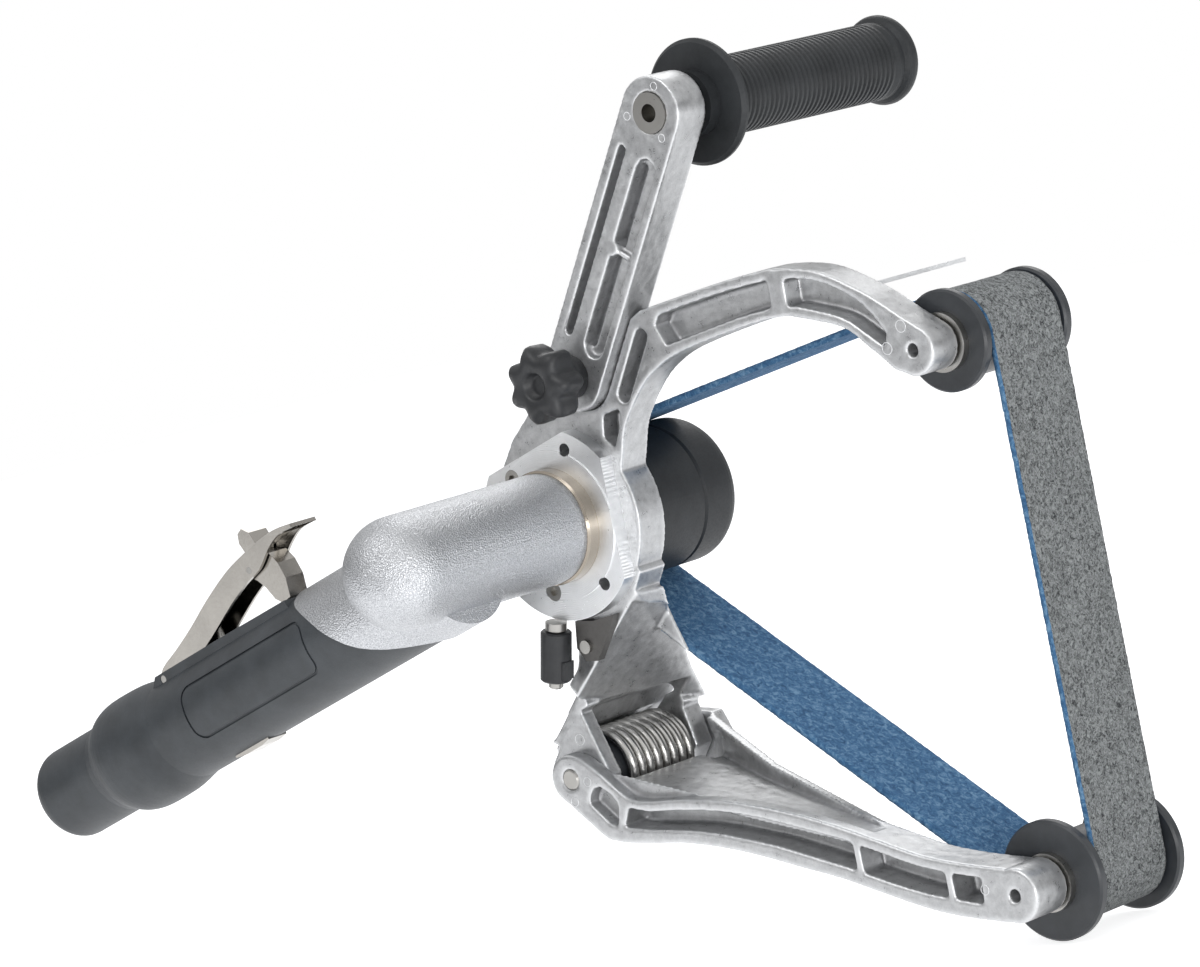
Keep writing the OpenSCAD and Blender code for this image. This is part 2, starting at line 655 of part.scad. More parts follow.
module lower_arm() color(aluminium) difference() {
    union() {
        difference() {
            slab(arm_y, arm_beam_t) arm_outline();
            slab(arm_y + cheek_t, arm_beam_t) translate(pin) circle(deck_rear);
            slab(arm_y - 1, channel_d + 1) difference() {
                polygon(arm_channel);
                for (x = rib_x) translate([x - 1.5, bottom[1] - 20]) square([3, 80]);
            }
        }
        arm_deck();
        slab(far_side + side_gap, cheek_t) {
            translate(pin) circle(eye_r);
            polygon([pin + [0, eye_r], pin + [16, 10], pin + [22, -4], pin + [16, -14], pin + [0, -eye_r]]);
        }
    }
    rod(pin, arm_y - 1, pin_end - arm_y + 2, pin_r + 0.05);
    rod(bottom, frame_back - axle_root, axle_root + 1, axle_r + fit);
    rod(bottom, arm_y - 1, tip_thread_d + 1, tip_thread_r);
}

// Belt guard, tracking bracket and screw
guard_t = 1.6;
guard_to = top + [-21.5, 25.5];
guard_run = [-36, -3.3];
module belt_guard() color(aluminium) {
    slab(frame_back, belt_mid + belt_w / 2 + 1.5 - frame_back) polygon([
        guard_to, guard_to + guard_run, guard_to + guard_run - [0, guard_t], guard_to - [0, guard_t]
    ]);
    slab(frame_back, guard_t) polygon([
        guard_to - [2, guard_t], guard_to - [12, -5], guard_to + [-34, 8], guard_to + guard_run - [0, guard_t]
    ]);
}
module guard_screws() color(steel) for (d = [[-30, 2.5], [-16, 2.3]])
    rod(guard_to + d, frame_back + guard_t, 1.8, 2.2);

bracket_y = 3.3;
bracket_t = 3.6;
bracket_pin_at = [0.2, -47.8];
module tracking_bracket() color("#6d6f70") difference() {
    slab(bracket_y, bracket_t) polygon([
        [-3.2, -37.6], [6, -38.2], [17, -36.5], [14.5, -41], [4.6, -53.6], [-1.6, -53.4], [-5, -48]
    ]);
    rod(bracket_pin_at, bracket_y - 1, bracket_t + 2, 2.6 + fit);
}
module bracket_pin() color(steel) rod(bracket_pin_at, bracket_y - 1.2, bracket_t + 1.2, 2.6);

// Handle arm with its insert, nut, bolt, grip and star knob
handle_pockets = [[19, 51], [63, 92]];
module handle_arm() color(aluminium) difference() {
    slab(handle_y, handle_t) slot(pivot, grip_at, handle_w);
    slab(handle_y - 1, pocket_d + 1) difference() {
        for (part = handle_pockets, side = [-1, 1])
            slot(pivot + part[0] * handle_dir + side * 5.3 * handle_side,
                pivot + part[1] * handle_dir + side * 5.3 * handle_side, 6.6);
        translate(pivot + handle_len / 2 * handle_dir) circle(r = 5.5, $fn = 6);
    }
    rod(pivot, handle_y - 1, handle_t + 2, knob_stud_r + 0.05);
    rod(grip_at, handle_y - 1, handle_t + 2, insert_r + fit);
}

bolt_r = 4;
thread_d = 9;
module thread_insert() color(steel) difference() {
    rod(grip_at, handle_y - 0.6, handle_t + 0.6, insert_r);
    rod(grip_at, handle_y - 1, thread_d + 1, handle_thread_r);
    rod(grip_at, handle_y + thread_d - 0.6, handle_t, bolt_r + fit);
}

nut_w = 4;
grip_y = handle_y + handle_t + nut_w + 0.2;
nut_r = 7.5;
grip_hub_w = 5.6;
grip_hub_r = 12.5;
flange_w = 4;
grip_end = grip_y + grip_hub_w + grip_len;
bead_r = grip_r + 2;
module grip_bolt() color(steel) rod(grip_at, handle_y + thread_d, grip_end - 8 - handle_y - thread_d, bolt_r);
module grip_nut() color(steel) difference() {
    translate([grip_at[0], grip_y - 0.2, grip_at[1]]) rotate([90, 0, 0]) cylinder(h = nut_w, r = nut_r, $fn = 6);
    rod(grip_at, handle_y, handle_t + 9, bolt_r + fit);
}

rib_from = grip_y + grip_hub_w + flange_w + 4;
rib_to = grip_end - 12;
rib_pitch = (rib_to - rib_from) / grip_ribs;
rib_h = 0.7;
module side_grip() color(black) turned(grip_at, concat(
    [[bolt_r + fit, grip_y], [grip_hub_r, grip_y], [grip_hub_r, grip_y + grip_hub_w],
     [grip_flange_r - 1.4, grip_y + grip_hub_w], [grip_flange_r, grip_y + grip_hub_w + 1.4],
     [grip_flange_r, grip_y + grip_hub_w + flange_w - 1.4],
     [grip_flange_r - 1.4, grip_y + grip_hub_w + flange_w], [grip_r, grip_y + grip_hub_w + flange_w]],
    [for (i = [0 : grip_ribs - 1], k = [0 : 3])
        [grip_r - (k == 0 || k == 3 ? rib_h : 0), rib_from + rib_pitch * (i + [0, 0.2, 0.6, 0.8][k])]],
    [[grip_r - rib_h, rib_to], [grip_r, rib_to + 2], [grip_r, grip_end - 7.5]],
    arc([bead_r - 3.4, grip_end - 3.8], 3.8, -40, 90, 8),
    [[0, grip_end], [0, grip_end - 7], [bolt_r + fit, grip_end - 7]]
));

knob_y = handle_y - 22;
knob_t = 14;
lobe_r = 3.4;
module knob_outline(inset) {
    circle(knob_r - 3.2 - inset);
    for (i = [0 : knob_lobes - 1]) rotate(i * 360 / knob_lobes) translate([knob_r - lobe_r, 0]) circle(lobe_r - inset);
}
module star_knob() color(black) difference() {
    union() {
        slab(knob_y + 1.5, knob_t - 1.5) translate(pivot) knob_outline(0);
        slab(knob_y, knob_t) translate(pivot) knob_outline(1.2);
        turned(pivot, [[0, knob_y + 2], [10, knob_y + 2], [10.4, knob_y + knob_t],
            [8.2, knob_y + knob_t + 4], [8.2, handle_y - 0.1], [0, handle_y - 0.1]]);
    }
    rod(pivot, knob_y - 1, 30, knob_stud_r + 0.05);
}
module knob_stud() color(steel) rod(pivot, knob_y + 5, frame_back + 2.9 - knob_y - 5, knob_stud_r);

// The motor's two frames: Z runs away from the gear head, X is up on the lever's side
module on_rotor() translate([0, -motor_y, 0]) rotate([0, -90 - motor_tilt, 0]) children();
module on_case() on_rotor() translate([-head_drop, 0, 0]) children();

// Flat outline of [along, up] on the motor, given thickness along Y
module motor_slab(y, len) multmatrix([[0, 1, 0, 0], [0, 0, 1, y], [1, 0, 0, 0], [0, 0, 0, 1]])
    linear_extrude(len) children();

// Gear housing: round head, and a neck whose lobe laps over the casing
neck_r = case_r + 1.3;
lobe = curve([
    [-4, -24], [7, -23.5], [18, -20.5], [31, -16], [41, -10.5], [48, -4], [53, 1.5], [58.5, 8],
    [64.5, 13.5], [69.5, 18], [71.5, 24]
], 2);
module head_form(grow) {
    turned(wheel, concat(
        [[0, -motor_y - head_over], [0, -motor_y - head_over - head_r - grow]],
        arc([0, -motor_y - head_over], head_r + grow, -84, 0, 14),
        [[head_r + grow, -collar_w - 3], [head_r + grow - 0.4, -collar_w], [0, -collar_w]]
    ));
    on_case() intersection() {
        translate([0, 0, -4]) cylinder(h = 80, r = neck_r + grow);
        motor_slab(-40, 80) polygon(concat(lobe, [[-4, 24]]));
    }
}

plate_from = 24;
liner_from = plate_from + bearing_w + 7.7;
liner_len = rotor_len + 0.6;
liner_to = liner_from + liner_len;
rear_to = liner_to + bearing_w + 7.7;
module gear_housing() color("#b9bdc2") difference() {
    head_form(0);
    turned(wheel, [
        [0, tail_bearing_y - 1], [tail_bearing_r + fit, tail_bearing_y - 1], [tail_bearing_r + fit, tail_bearing_y + tail_bearing_w],
        [spigot_r - 3, tail_bearing_y + tail_bearing_w + 1], [spigot_r + fit, -motor_y - 4],
        [spigot_r + fit, -collar_w + 1], [0, -collar_w + 1]
    ]);
    on_rotor() translate([0, 0, 8]) cylinder(h = 20, r = bearing_r + 0.6);
    on_case() translate([0, 0, plate_from - 1]) cylinder(h = 80, r = liner_r + fit);
}

// Black casing with its bulge, lever pocket and bare outlined panel
bulge_at = 168;
case_end = 205;
bulge_r = case_r + 2.4;
spigot = 14;
spigot_len = 34;
pocket_from = 119;
pocket_to = 164;
pocket_floor = 13;
pocket_half = 8.4;
valve_at = 128;
air_r = 6;
panel_groove = 0.6;
module panel_line() difference() {
    translate([65, -11]) rounded(77, 22, 5);
    translate([66, -10]) rounded(75, 20, 4);
}
module rounded(w, h, r) for (x = [r, w - r], y = [r, h - r]) {
    translate([x, y]) circle(r);
    translate([0, r]) square([w, h - 2 * r]);
    translate([r, 0]) square([w - 2 * r, h]);
}
clip_from = 121;
clip_to = 142;
clip_depth = 1.6;
module motor_casing() color(dark) difference() {
    on_case() difference() {
        union() {
            rotate_extrude() polygon(concat(
                [[0, 7], [case_r, 7], [case_r, bulge_at - 4]],
                curve([[case_r, bulge_at - 3], [case_r + 0.8, bulge_at + 2], [bulge_r - 0.4, bulge_at + 9],
                    [bulge_r, bulge_at + 16], [bulge_r, bulge_at + 26], [bulge_r - 1, bulge_at + 32],
                    [tail_r + 1.4, case_end]], 3),
                [[spigot, case_end], [spigot, case_end + spigot_len], [0, case_end + spigot_len]]
            ));
            motor_slab(-pocket_half - 2.4, 2 * pocket_half + 4.8) polygon([
                [75, 12], [76.5, case_r + 0.2], [118, case_r + 0.6], [160, case_r + 0.6], [169, 12]
            ]);
        }
        translate([0, 0, plate_from - 1]) cylinder(h = rear_to + 1.2 - plate_from, r = liner_r + fit);
        motor_slab(-pocket_half, 2 * pocket_half) translate([pocket_from, pocket_floor])
            square([pocket_to - pocket_from, 20]);
        translate([0, 0, valve_at - 8]) cylinder(h = 130, r = air_r);
        translate([0, 0, inlet_from]) cylinder(h = 60, r = bushing_r + fit);
        translate([0, 0, valve_at]) rotate([0, 90, 0]) cylinder(h = 40, r = stem_r + 0.05);
        translate([-chamber_d, 0, valve_at]) rotate([0, 90, 0]) cylinder(h = chamber_d, r = poppet_r + 0.6);
        motor_slab(-5, 10) translate([clip_from, -case_r - 2]) square([clip_to - clip_from, 2 + clip_depth]);
        translate([lever_pin_at[1], -pocket_half - 2.6, lever_pin_at[0]]) rotate([-90, 0, 0])
            cylinder(h = 2 * pocket_half + 5.2, r = lever_pin_r + fit);
        intersection() {
            motor_slab(-case_r - 2, case_r) panel_line();
            difference() {
                cylinder(h = 200, r = case_r + 3);
                cylinder(h = 200, r = case_r - panel_groove);
            }
        }
    }
    head_form(0.02);
}

module casing_clip() color(steel) on_case() motor_slab(-5 + fit, 10 - 2 * fit) polygon([
    [clip_from + fit, -case_r + clip_depth], [clip_to - fit, -case_r + clip_depth],
    [clip_to - fit, -case_r - 0.2], [clip_to - 5, -case_r - 1], [clip_from + 5, -case_r - 1], [clip_from + fit, -case_r - 0.2]
]);

// End plates, cylinder, rotor and bearings
module end_plate(from, to, pocket_side) difference() {
    on_case() translate([0, 0, from]) cylinder(h = to - from, r = liner_r);
    on_rotor() translate([0, 0, from - 1]) cylinder(h = to - from + 2, r = rotor_shaft_r + 0.6);
    on_rotor() translate([0, 0, pocket_side]) cylinder(h = bearing_w + 1, r = bearing_r + fit);
}
rotor_shaft_r = 4;
module front_end_plate() color(steel) end_plate(plate_from, liner_from, plate_from - 1);
module rear_end_plate() color(steel) end_plate(liner_to, rear_to, rear_to - bearing_w);

bore_r = rotor_r + 2.1;
bore_up = head_drop - (bore_r - rotor_r - 0.15);
module motor_cylinder() color(steel) on_case() difference() {
    translate([0, 0, liner_from]) cylinder(h = liner_len, r = liner_r);
    translate([bore_up, 0, liner_from - 1]) cylinder(h = liner_len + 2, r = bore_r);
    for (i = [-1 : 1]) translate([-liner_r - 1, 0, liner_from + liner_len / 2 + i * 12])
        rotate([0, 90, 0]) cylinder(h = liner_r, r = 2);
}

vane_t = 1.6;
vane_h = 5;
module rotor() color(steel) on_rotor() difference() {
    rotate_extrude() polygon([
        [0, 9], [rotor_shaft_r, 9], [rotor_shaft_r, liner_from + 0.3], [rotor_r, liner_from + 0.3],
        [rotor_r, liner_to - 0.3], [rotor_shaft_r, liner_to - 0.3], [rotor_shaft_r, rear_to], [0, rear_to]
    ]);
    for (i = [0 : vane_count - 1]) rotate([0, 0, i * 360 / vane_count + 20])
        translate([rotor_r - vane_h, -vane_t / 2, liner_from]) cube([vane_h + 1, vane_t, liner_len]);
}
module vanes() color("#8a6b3f") on_rotor() for (i = [0 : vane_count - 1])
    rotate([0, 0, i * 360 / vane_count + 20]) translate([rotor_r - vane_h + fit, -vane_t / 2 + fit, liner_from + 0.3])
        cube([vane_h - 0.08, vane_t - 2 * fit, rotor_len]);
module rotor_bearings() color(steel) on_rotor() for (s = [plate_from, rear_to - bearing_w])
    translate([0, 0, s]) rotate_extrude() polygon([
        [rotor_shaft_r + 0.03, 0], [bearing_r, 0], [bearing_r, bearing_w], [rotor_shaft_r + 0.03, bearing_w]
    ]);
pinion_hub = [5.8, 8.5];
module bevel_pinion() color(steel) on_rotor()
    bevel(pinion_teeth, atan(pinion_teeth / gear_teeth), rotor_shaft_r + fit, pinion_hub, 180 / pinion_teeth);

// Valve, its seat and spring under the lever
stem_r = 2;
stem_top = 31;
poppet_r = 4.4;
poppet_drop = 3;
chamber_d = 9.5;
module throttle_valve() color(steel) on_case() translate([0, 0, valve_at]) rotate([0, 90, 0]) rotate_extrude()
    polygon([
        [0, -poppet_drop], [poppet_r, -poppet_drop], [poppet_r, -1], [stem_r, 0.6],
        [stem_r, stem_top - 1], [stem_r - 0.8, stem_top], [0, stem_top]
    ]);
module valve_seat() color("#b08d4a") on_case() translate([0, 0, valve_at]) rotate([0, 90, 0]) rotate_extrude()
    polygon([[stem_r + 0.05, 1.6], [air_r - 1.2, 1.6], [air_r - 1.2, 3.4], [stem_r + 0.05, 3.4]]);
spring_turns = 4;
spring_mid = 3;
spring_wire = 0.7;
spring_pitch = 1.4;
spring_path = [for (i = [0 : spring_turns * curl_rings])
    let (a = i * 360 / curl_rings)
    [spring_mid * cos(a), i * spring_pitch / curl_rings, spring_mid * sin(a)]];
module valve_spring() color(steel) on_case() translate([-poppet_drop - spring_wire / 2 - 0.1, 0, valve_at])
    rotate([0, 0, 90]) tube(spring_path, spring_wire / 2);

// Rear collar, inlet bushing and screen
inlet_from = case_end + spigot_len - 22;
bushing_r = 10;
module rear_collar() color(dark) on_case() rotate_extrude() polygon(concat(
    [[spigot + fit, case_end], [tail_r + 1, case_end], [tail_r + 0.2, case_end + 4], [tail_r, case_end + 9]],
    arc([tail_r - 7, case_end + tail_len - 7], 7, 0, 80, 6),
    [[bushing_r + 2, case_end + tail_len], [bushing_r + 2, case_end + spigot_len + 0.1], [spigot + fit, case_end + spigot_len + 0.1]]
));
bushing_to = case_end + tail_len - 1;
thread_len = 14;
module inlet_bushing() color(steel) on_case() rotate_extrude() polygon([
    [4.6, inlet_from], [bushing_r, inlet_from], [bushing_r, bushing_to], [inlet_r, bushing_to],
    [inlet_r, bushing_to - thread_len], [4.6, bushing_to - thread_len]
]);
module inlet_screen() color("#9a8f6c") on_case() translate([0, 0, inlet_from - 8]) difference() {
    cylinder(h = 1.2, r = air_r - 0.02);
    for (i = [0 : 5]) rotate([0, 0, i * 60]) translate([3.2, 0, -1]) cylinder(h = 4, r = 0.8);
}

// Throttle lever, a formed channel, with the lock-off lever in its slot
lever_pin_at = [156, 19];
lever_pin_r = 1.6;
lever_half = 7;
sheet = 1.4;
lock_at = [91.4, 38.7];
lock_pin_r = 1.4;
lever_top_edge = [
    [163.5, 18], [158, 23.5], [147, 27], [134, 31.6], [120, 37.4], [104, 42.8], [92, 45.2], [80, 46.8], [70, 47.2], [61, 46]
];
lever_low_edge = [
    [61, 44.4], [70, 44.5], [78, 41.5], [86, 37], [96, 34.8], [108, 31], [125, 24.2], [140, 19], [150, 16], [160, 15]
];
module throttle_lever() color("#b7ae9c") on_case() difference() {
    motor_slab(-lever_half, 2 * lever_half) polygon(concat(curve(lever_top_edge, 3), curve(lever_low_edge, 3)));
    motor_slab(-lever_half + sheet, 2 * (lever_half - sheet)) polygon(concat(
        curve([for (p = lever_top_edge) p - [0, sheet]], 3), [[61, 0], [170, 0]]
    ));
    motor_slab(-lock_half - 0.4, 2 * lock_half + 0.8) translate([74, 30]) square([36, 20]);
    on_lever_pin(lever_half + 1, lever_pin_r + 0.05);
    translate([lock_at[1], -lever_half - 1, lock_at[0]]) rotate([-90, 0, 0]) cylinder(h = 2 * lever_half + 2, r = lock_pin_r + fit);
}
module on_lever_pin(half, r) translate([lever_pin_at[1], -half, lever_pin_at[0]]) rotate([-90, 0, 0])
    cylinder(h = 2 * half, r = r);
module lever_pin() color(steel) on_case() on_lever_pin(pocket_half + 2.2, lever_pin_r);

lock_half = 4.8;
lock_edge = [
    [95, 37], [95.5, 41], [91.5, 45], [92.8, 50], [91.5, 53.6], [88.6, 54.6], [85.6, 51.8], [84.6, 47], [86, 43.5], [80, 41],
    [77.6, 36], [76.8, 29.5], [78.6, 22.2], [83.6, 21.6], [86.6, 24.4], [88.8, 30], [91.5, 34]
];
module lock_off_lever() color(bright) on_case() difference() {
    motor_slab(-lock_half, 2 * lock_half) polygon(lock_edge);
    motor_slab(-lock_half + sheet, 2 * (lock_half - sheet)) polygon([
        [97, 30], [97, 43], [90.5, 43.5], [86, 42], [79, 38.6], [78.4, 29.5], [79.6, 26], [86, 26], [90, 30]
    ]);
    translate([lock_at[1], -lock_half - 1, lock_at[0]]) rotate([-90, 0, 0]) cylinder(h = 2 * lock_half + 2, r = lock_pin_r + 0.05);
}
module lock_off_pin() color(steel) on_case() translate([lock_at[1], -lever_half, lock_at[0]]) rotate([-90, 0, 0])
    cylinder(h = 2 * lever_half, r = lock_pin_r);

// Tracking screw and its sleeve, hanging below the plate
track_from = [-9.8, -36.6];
track_to = [-16.6, -61.2];
track_dir = (track_to - track_from) / norm(track_to - track_from);
module on_track() translate([track_from[0], 0, track_from[1]])
    rotate([0, 90 - atan2(track_dir[1], track_dir[0]), 0]) children();
track_shaft = 4.2;
sleeve_from = 3;
sleeve_len = 20.7;
module tracking_screw() color(steel) on_track() rotate_extrude() polygon([
    [0, 0], [track_shaft, 0], [track_shaft, sleeve_from], [2.8, sleeve_from + 0.5],
    [2.8, sleeve_from + sleeve_len + 2], [2.2, sleeve_from + sleeve_len + 2.6], [0, sleeve_from + sleeve_len + 2.6]
]);
module tracking_sleeve() color(black) on_track() difference() {
    union() {
        translate([0, 0, sleeve_from + 0.6]) rotate_extrude() polygon([
            [2.8 + fit, 0], [5.4, 0], [6, 0.6], [6, sleeve_len - 1.6], [5.4, sleeve_len - 1], [2.8 + fit, sleeve_len - 1]
        ]);
        translate([-6.4, -3, sleeve_from + sleeve_len - 9]) cube([4, 6, 7]);
    }
    translate([0, 0, sleeve_from]) cylinder(h = 30, r = 2.8 + fit);
}

main_frame();
mounting_plate();
plate_screws();
collar_ring();
tracking_bracket();
bracket_pin();
belt_guard();
guard_screws();
hinge_pin();
spring_sleeve();
torsion_spring();
top_axle();
knob_stud();
gear_housing();
motor_casing();
front_end_plate();
rear_end_plate();
motor_cylinder();
rotor_bearings();
spindle_bearings();
valve_seat();
rear_collar();
inlet_bushing();
inlet_screen();
lever_pin();
casing_clip();
abrasive_belt();
spindle();
bevel_gear();
wheel_hub();
drive_wheel();
wheel_screw();
rotor();
vanes();
bevel_pinion();
top_roller();
top_roller_bearings();
bottom_roller();
bottom_roller_bearings();
lower_arm();
bottom_axle();
handle_arm();
thread_insert();
grip_bolt();
grip_nut();
side_grip();
star_knob();
tracking_screw();
tracking_sleeve();
throttle_lever();
lock_off_lever();
lock_off_pin();
throttle_valve();
valve_spring();
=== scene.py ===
"""Air-powered pipe belt sander, dressed for a studio view. Lengths are in metres."""
import json
import math

import bmesh
import bpy
from mathutils import Matrix, Vector, noise


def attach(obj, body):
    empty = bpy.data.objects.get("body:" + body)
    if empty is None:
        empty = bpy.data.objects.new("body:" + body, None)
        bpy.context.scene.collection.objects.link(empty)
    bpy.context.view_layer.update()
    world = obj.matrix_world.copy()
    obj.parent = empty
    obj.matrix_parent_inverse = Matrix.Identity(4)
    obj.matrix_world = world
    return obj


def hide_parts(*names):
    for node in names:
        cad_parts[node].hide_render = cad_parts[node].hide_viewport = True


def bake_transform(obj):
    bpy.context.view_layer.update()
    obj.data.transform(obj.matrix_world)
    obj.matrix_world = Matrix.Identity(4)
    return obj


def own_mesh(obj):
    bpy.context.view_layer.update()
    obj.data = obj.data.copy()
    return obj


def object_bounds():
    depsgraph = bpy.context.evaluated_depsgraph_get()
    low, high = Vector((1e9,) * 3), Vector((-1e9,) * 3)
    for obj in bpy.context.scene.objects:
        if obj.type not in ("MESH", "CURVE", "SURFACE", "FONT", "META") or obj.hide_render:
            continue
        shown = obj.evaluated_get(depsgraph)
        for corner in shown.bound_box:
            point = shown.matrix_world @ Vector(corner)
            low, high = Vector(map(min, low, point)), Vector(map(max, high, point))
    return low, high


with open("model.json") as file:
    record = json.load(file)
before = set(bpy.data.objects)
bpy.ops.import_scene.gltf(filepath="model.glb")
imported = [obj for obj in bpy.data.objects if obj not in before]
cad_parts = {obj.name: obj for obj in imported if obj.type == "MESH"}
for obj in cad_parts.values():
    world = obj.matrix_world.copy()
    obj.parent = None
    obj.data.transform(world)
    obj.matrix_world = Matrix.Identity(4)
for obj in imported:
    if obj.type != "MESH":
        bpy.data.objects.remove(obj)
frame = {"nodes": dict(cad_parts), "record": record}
cad_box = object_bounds()
MM = 0.001

# Places that the added pieces share with the solids, in X and Z where they are pairs
WHEEL = Vector((0, 0))
TOP_NOSE = Vector((183, 46.7)) * MM
BOTTOM_NOSE = Vector((183, -153.3)) * MM
HINGE = Vector((-22.8, -98.7)) * MM
PIVOT = Vector((22, 55)) * MM
WHEEL_R = 28.4 * MM
CORE_R = 15.3 * MM
BELT_GAP = 0.25 * MM
BELT_T = 2.4 * MM
BELT_W = 40 * MM
BELT_MID = 51.7 * MM
FRAME_FACE = 7 * MM
ARM_FACE = 3.6 * MM
HANDLE_FACE = 2 * MM
HANDLE_LEAN = math.radians(35)
WELD = 0.00001


# Small helpers for node trees and meshes
def add(tree, kind, inputs=None, **settings):
    """Adds a node; a socket given as an input is linked, anything else is its value."""
    new = tree.nodes.new(kind)
    for key, value in settings.items():
        setattr(new, key, value)
    for key, value in (inputs or {}).items():
        socket = new.inputs[key]
        if isinstance(value, bpy.types.NodeSocket):
            tree.links.new(value, socket)
        else:
            socket.default_value = value
    return new


def math_node(tree, operation, a, b=0.0):
    return add(tree, "ShaderNodeMath", {0: a, 1: b}, operation=operation).outputs[0]


def blend_of(tree, a, b, factor_a, factor_b):
    """Sum of two values, each times its own factor."""
    first = math_node(tree, "MULTIPLY", a, factor_a)
    second = math_node(tree, "MULTIPLY", b, factor_b)
    return math_node(tree, "ADD", first, second)


def ramp(tree, factor, stops):
    """Colour ramp through (position, grey or colour) stops."""
    new = add(tree, "ShaderNodeValToRGB", {"Fac": factor})
    points = new.color_ramp.elements
    while len(points) < len(stops):
        points.new(0.5)
    for point, (at, colour) in zip(points, stops):
        point.position = at
        point.color = (*colour, 1) if isinstance(colour, tuple) else (colour, colour, colour, 1)
    return new.outputs["Color"]


def mix_colour(tree, factor, a, b, blend="MIX"):
    new = add(tree, "ShaderNodeMix", data_type="RGBA", blend_type=blend)
    for index, value in ((0, factor), (6, a), (7, b)):
        if isinstance(value, bpy.types.NodeSocket):
            tree.links.new(value, new.inputs[index])
        else:
            new.inputs[index].default_value = (*value, 1) if isinstance(value, tuple) else value
    return new.outputs[2]


def group(name, inputs, outputs):
    """Empty shader group with named float inputs and outputs, and its two end nodes."""
    tree = bpy.data.node_groups.new(name, "ShaderNodeTree")
    for key, value in inputs.items():
        socket = tree.interface.new_socket(key, in_out="INPUT", socket_type="NodeSocketFloat")
        socket.default_value = value
    for key in outputs:
        tree.interface.new_socket(key, in_out="OUTPUT", socket_type="NodeSocketFloat")
    return tree, tree.nodes.new("NodeGroupInput").outputs, tree.nodes.new("NodeGroupOutput").inputs


def place(tree, shared, **inputs):
    """Puts a shared group into a material and returns its outputs."""
    new = tree.nodes.new("ShaderNodeGroup")
    new.node_tree = shared
    for key, value in inputs.items():
        new.inputs[key.replace("_", " ")].default_value = value
    return new.outputs


def noise_of(tree, coords, scale, detail=3.0, rough=0.5, distortion=0.0):
    return add(tree, "ShaderNodeTexNoise", {
        "Vector": coords, "Scale": scale, "Detail": detail, "Roughness": rough, "Distortion": distortion,
    }).outputs["Fac"]


# Shared effects
def cast_skin():
    """Lazy waves of a poured surface under a fine tumbled grain."""
    sizes = {"Wave scale": 90, "Grain scale": 1800, "Grain share": 0.12}
    tree, given, out = group("cast skin", sizes, ("Height", "Tone"))
    coords = add(tree, "ShaderNodeTexCoord").outputs["Object"]
    wave = noise_of(tree, coords, given["Wave scale"], 2.0, 0.45, 0.4)
    grain = noise_of(tree, coords, given["Grain scale"], 4.0, 0.65)
    fine = math_node(tree, "MULTIPLY", grain, given["Grain share"])
    tree.links.new(math_node(tree, "ADD", wave, fine), out["Height"])
    blotch = noise_of(tree, coords, 260.0, 4.0, 0.6)
    tree.links.new(blend_of(tree, blotch, grain, 0.7, 0.3), out["Tone"])
    return tree


def edge_shine():
    """Mask that is high on outer edges and low in corners; the corner mask drives painted shade."""
    tree, given, out = group("edge shine", {"Sharpness": 12}, ("Edge", "Corner"))
    point = add(tree, "ShaderNodeNewGeometry").outputs["Pointiness"]
    off = math_node(tree, "SUBTRACT", point, 0.5)
    edge = add(tree, "ShaderNodeMath", {0: off, 1: given["Sharpness"]}, operation="MULTIPLY", use_clamp=True)
    corner = add(tree, "ShaderNodeMath", {0: math_node(tree, "MULTIPLY", off, -1.0), 1: given["Sharpness"]},
                 operation="MULTIPLY", use_clamp=True)
    tree.links.new(edge.outputs[0], out["Edge"])
    tree.links.new(corner.outputs[0], out["Corner"])
    return tree


def moulded_grain():
    """Even fine grain of a moulded plastic or rubber."""
    tree, given, out = group("moulded grain", {"Grain scale": 1500}, ("Height", "Tone"))
    coords = add(tree, "ShaderNodeTexCoord").outputs["Object"]
    tree.links.new(noise_of(tree, coords, given["Grain scale"], 3.0, 0.6), out["Height"])
    tree.links.new(noise_of(tree, coords, 60.0, 4.0, 0.6), out["Tone"])
    return tree


def turned_rings():
    """Fine circles that a lathe leaves round an axis along Y."""
    tree, given, out = group("turned rings", {"Centre X": 0, "Centre Z": 0, "Pitch": 0.0006}, ("Height",))
    coords = add(tree, "ShaderNodeTexCoord").outputs["Object"]
    split = add(tree, "ShaderNodeSeparateXYZ", {0: coords}).outputs
    across = math_node(tree, "SUBTRACT", split[0], given["Centre X"])
    up = math_node(tree, "SUBTRACT", split[2], given["Centre Z"])
    radius = math_node(tree, "SQRT", blend_of(tree, across, up, across, up))
    turns = math_node(tree, "DIVIDE", radius, given["Pitch"])
    tree.links.new(math_node(tree, "SINE", math_node(tree, "MULTIPLY", turns, 2 * math.pi)), out["Height"])
    return tree


CAST_SKIN = cast_skin()
EDGE_SHINE = edge_shine()
MOULDED_GRAIN = moulded_grain()
TURNED_RINGS = turned_rings()


def finish_of(name):
    """New material and its Principled shader."""
    material = bpy.data.materials.new(name)
    material.use_nodes = True
    return material, material.node_tree, material.node_tree.nodes["Principled BSDF"]


def bump(tree, shader, height, distance, strength=1.0):
    new = add(tree, "ShaderNodeBump", {"Height": height, "Distance": distance, "Strength": strength})
    tree.links.new(new.outputs["Normal"], shader.inputs["Normal"])


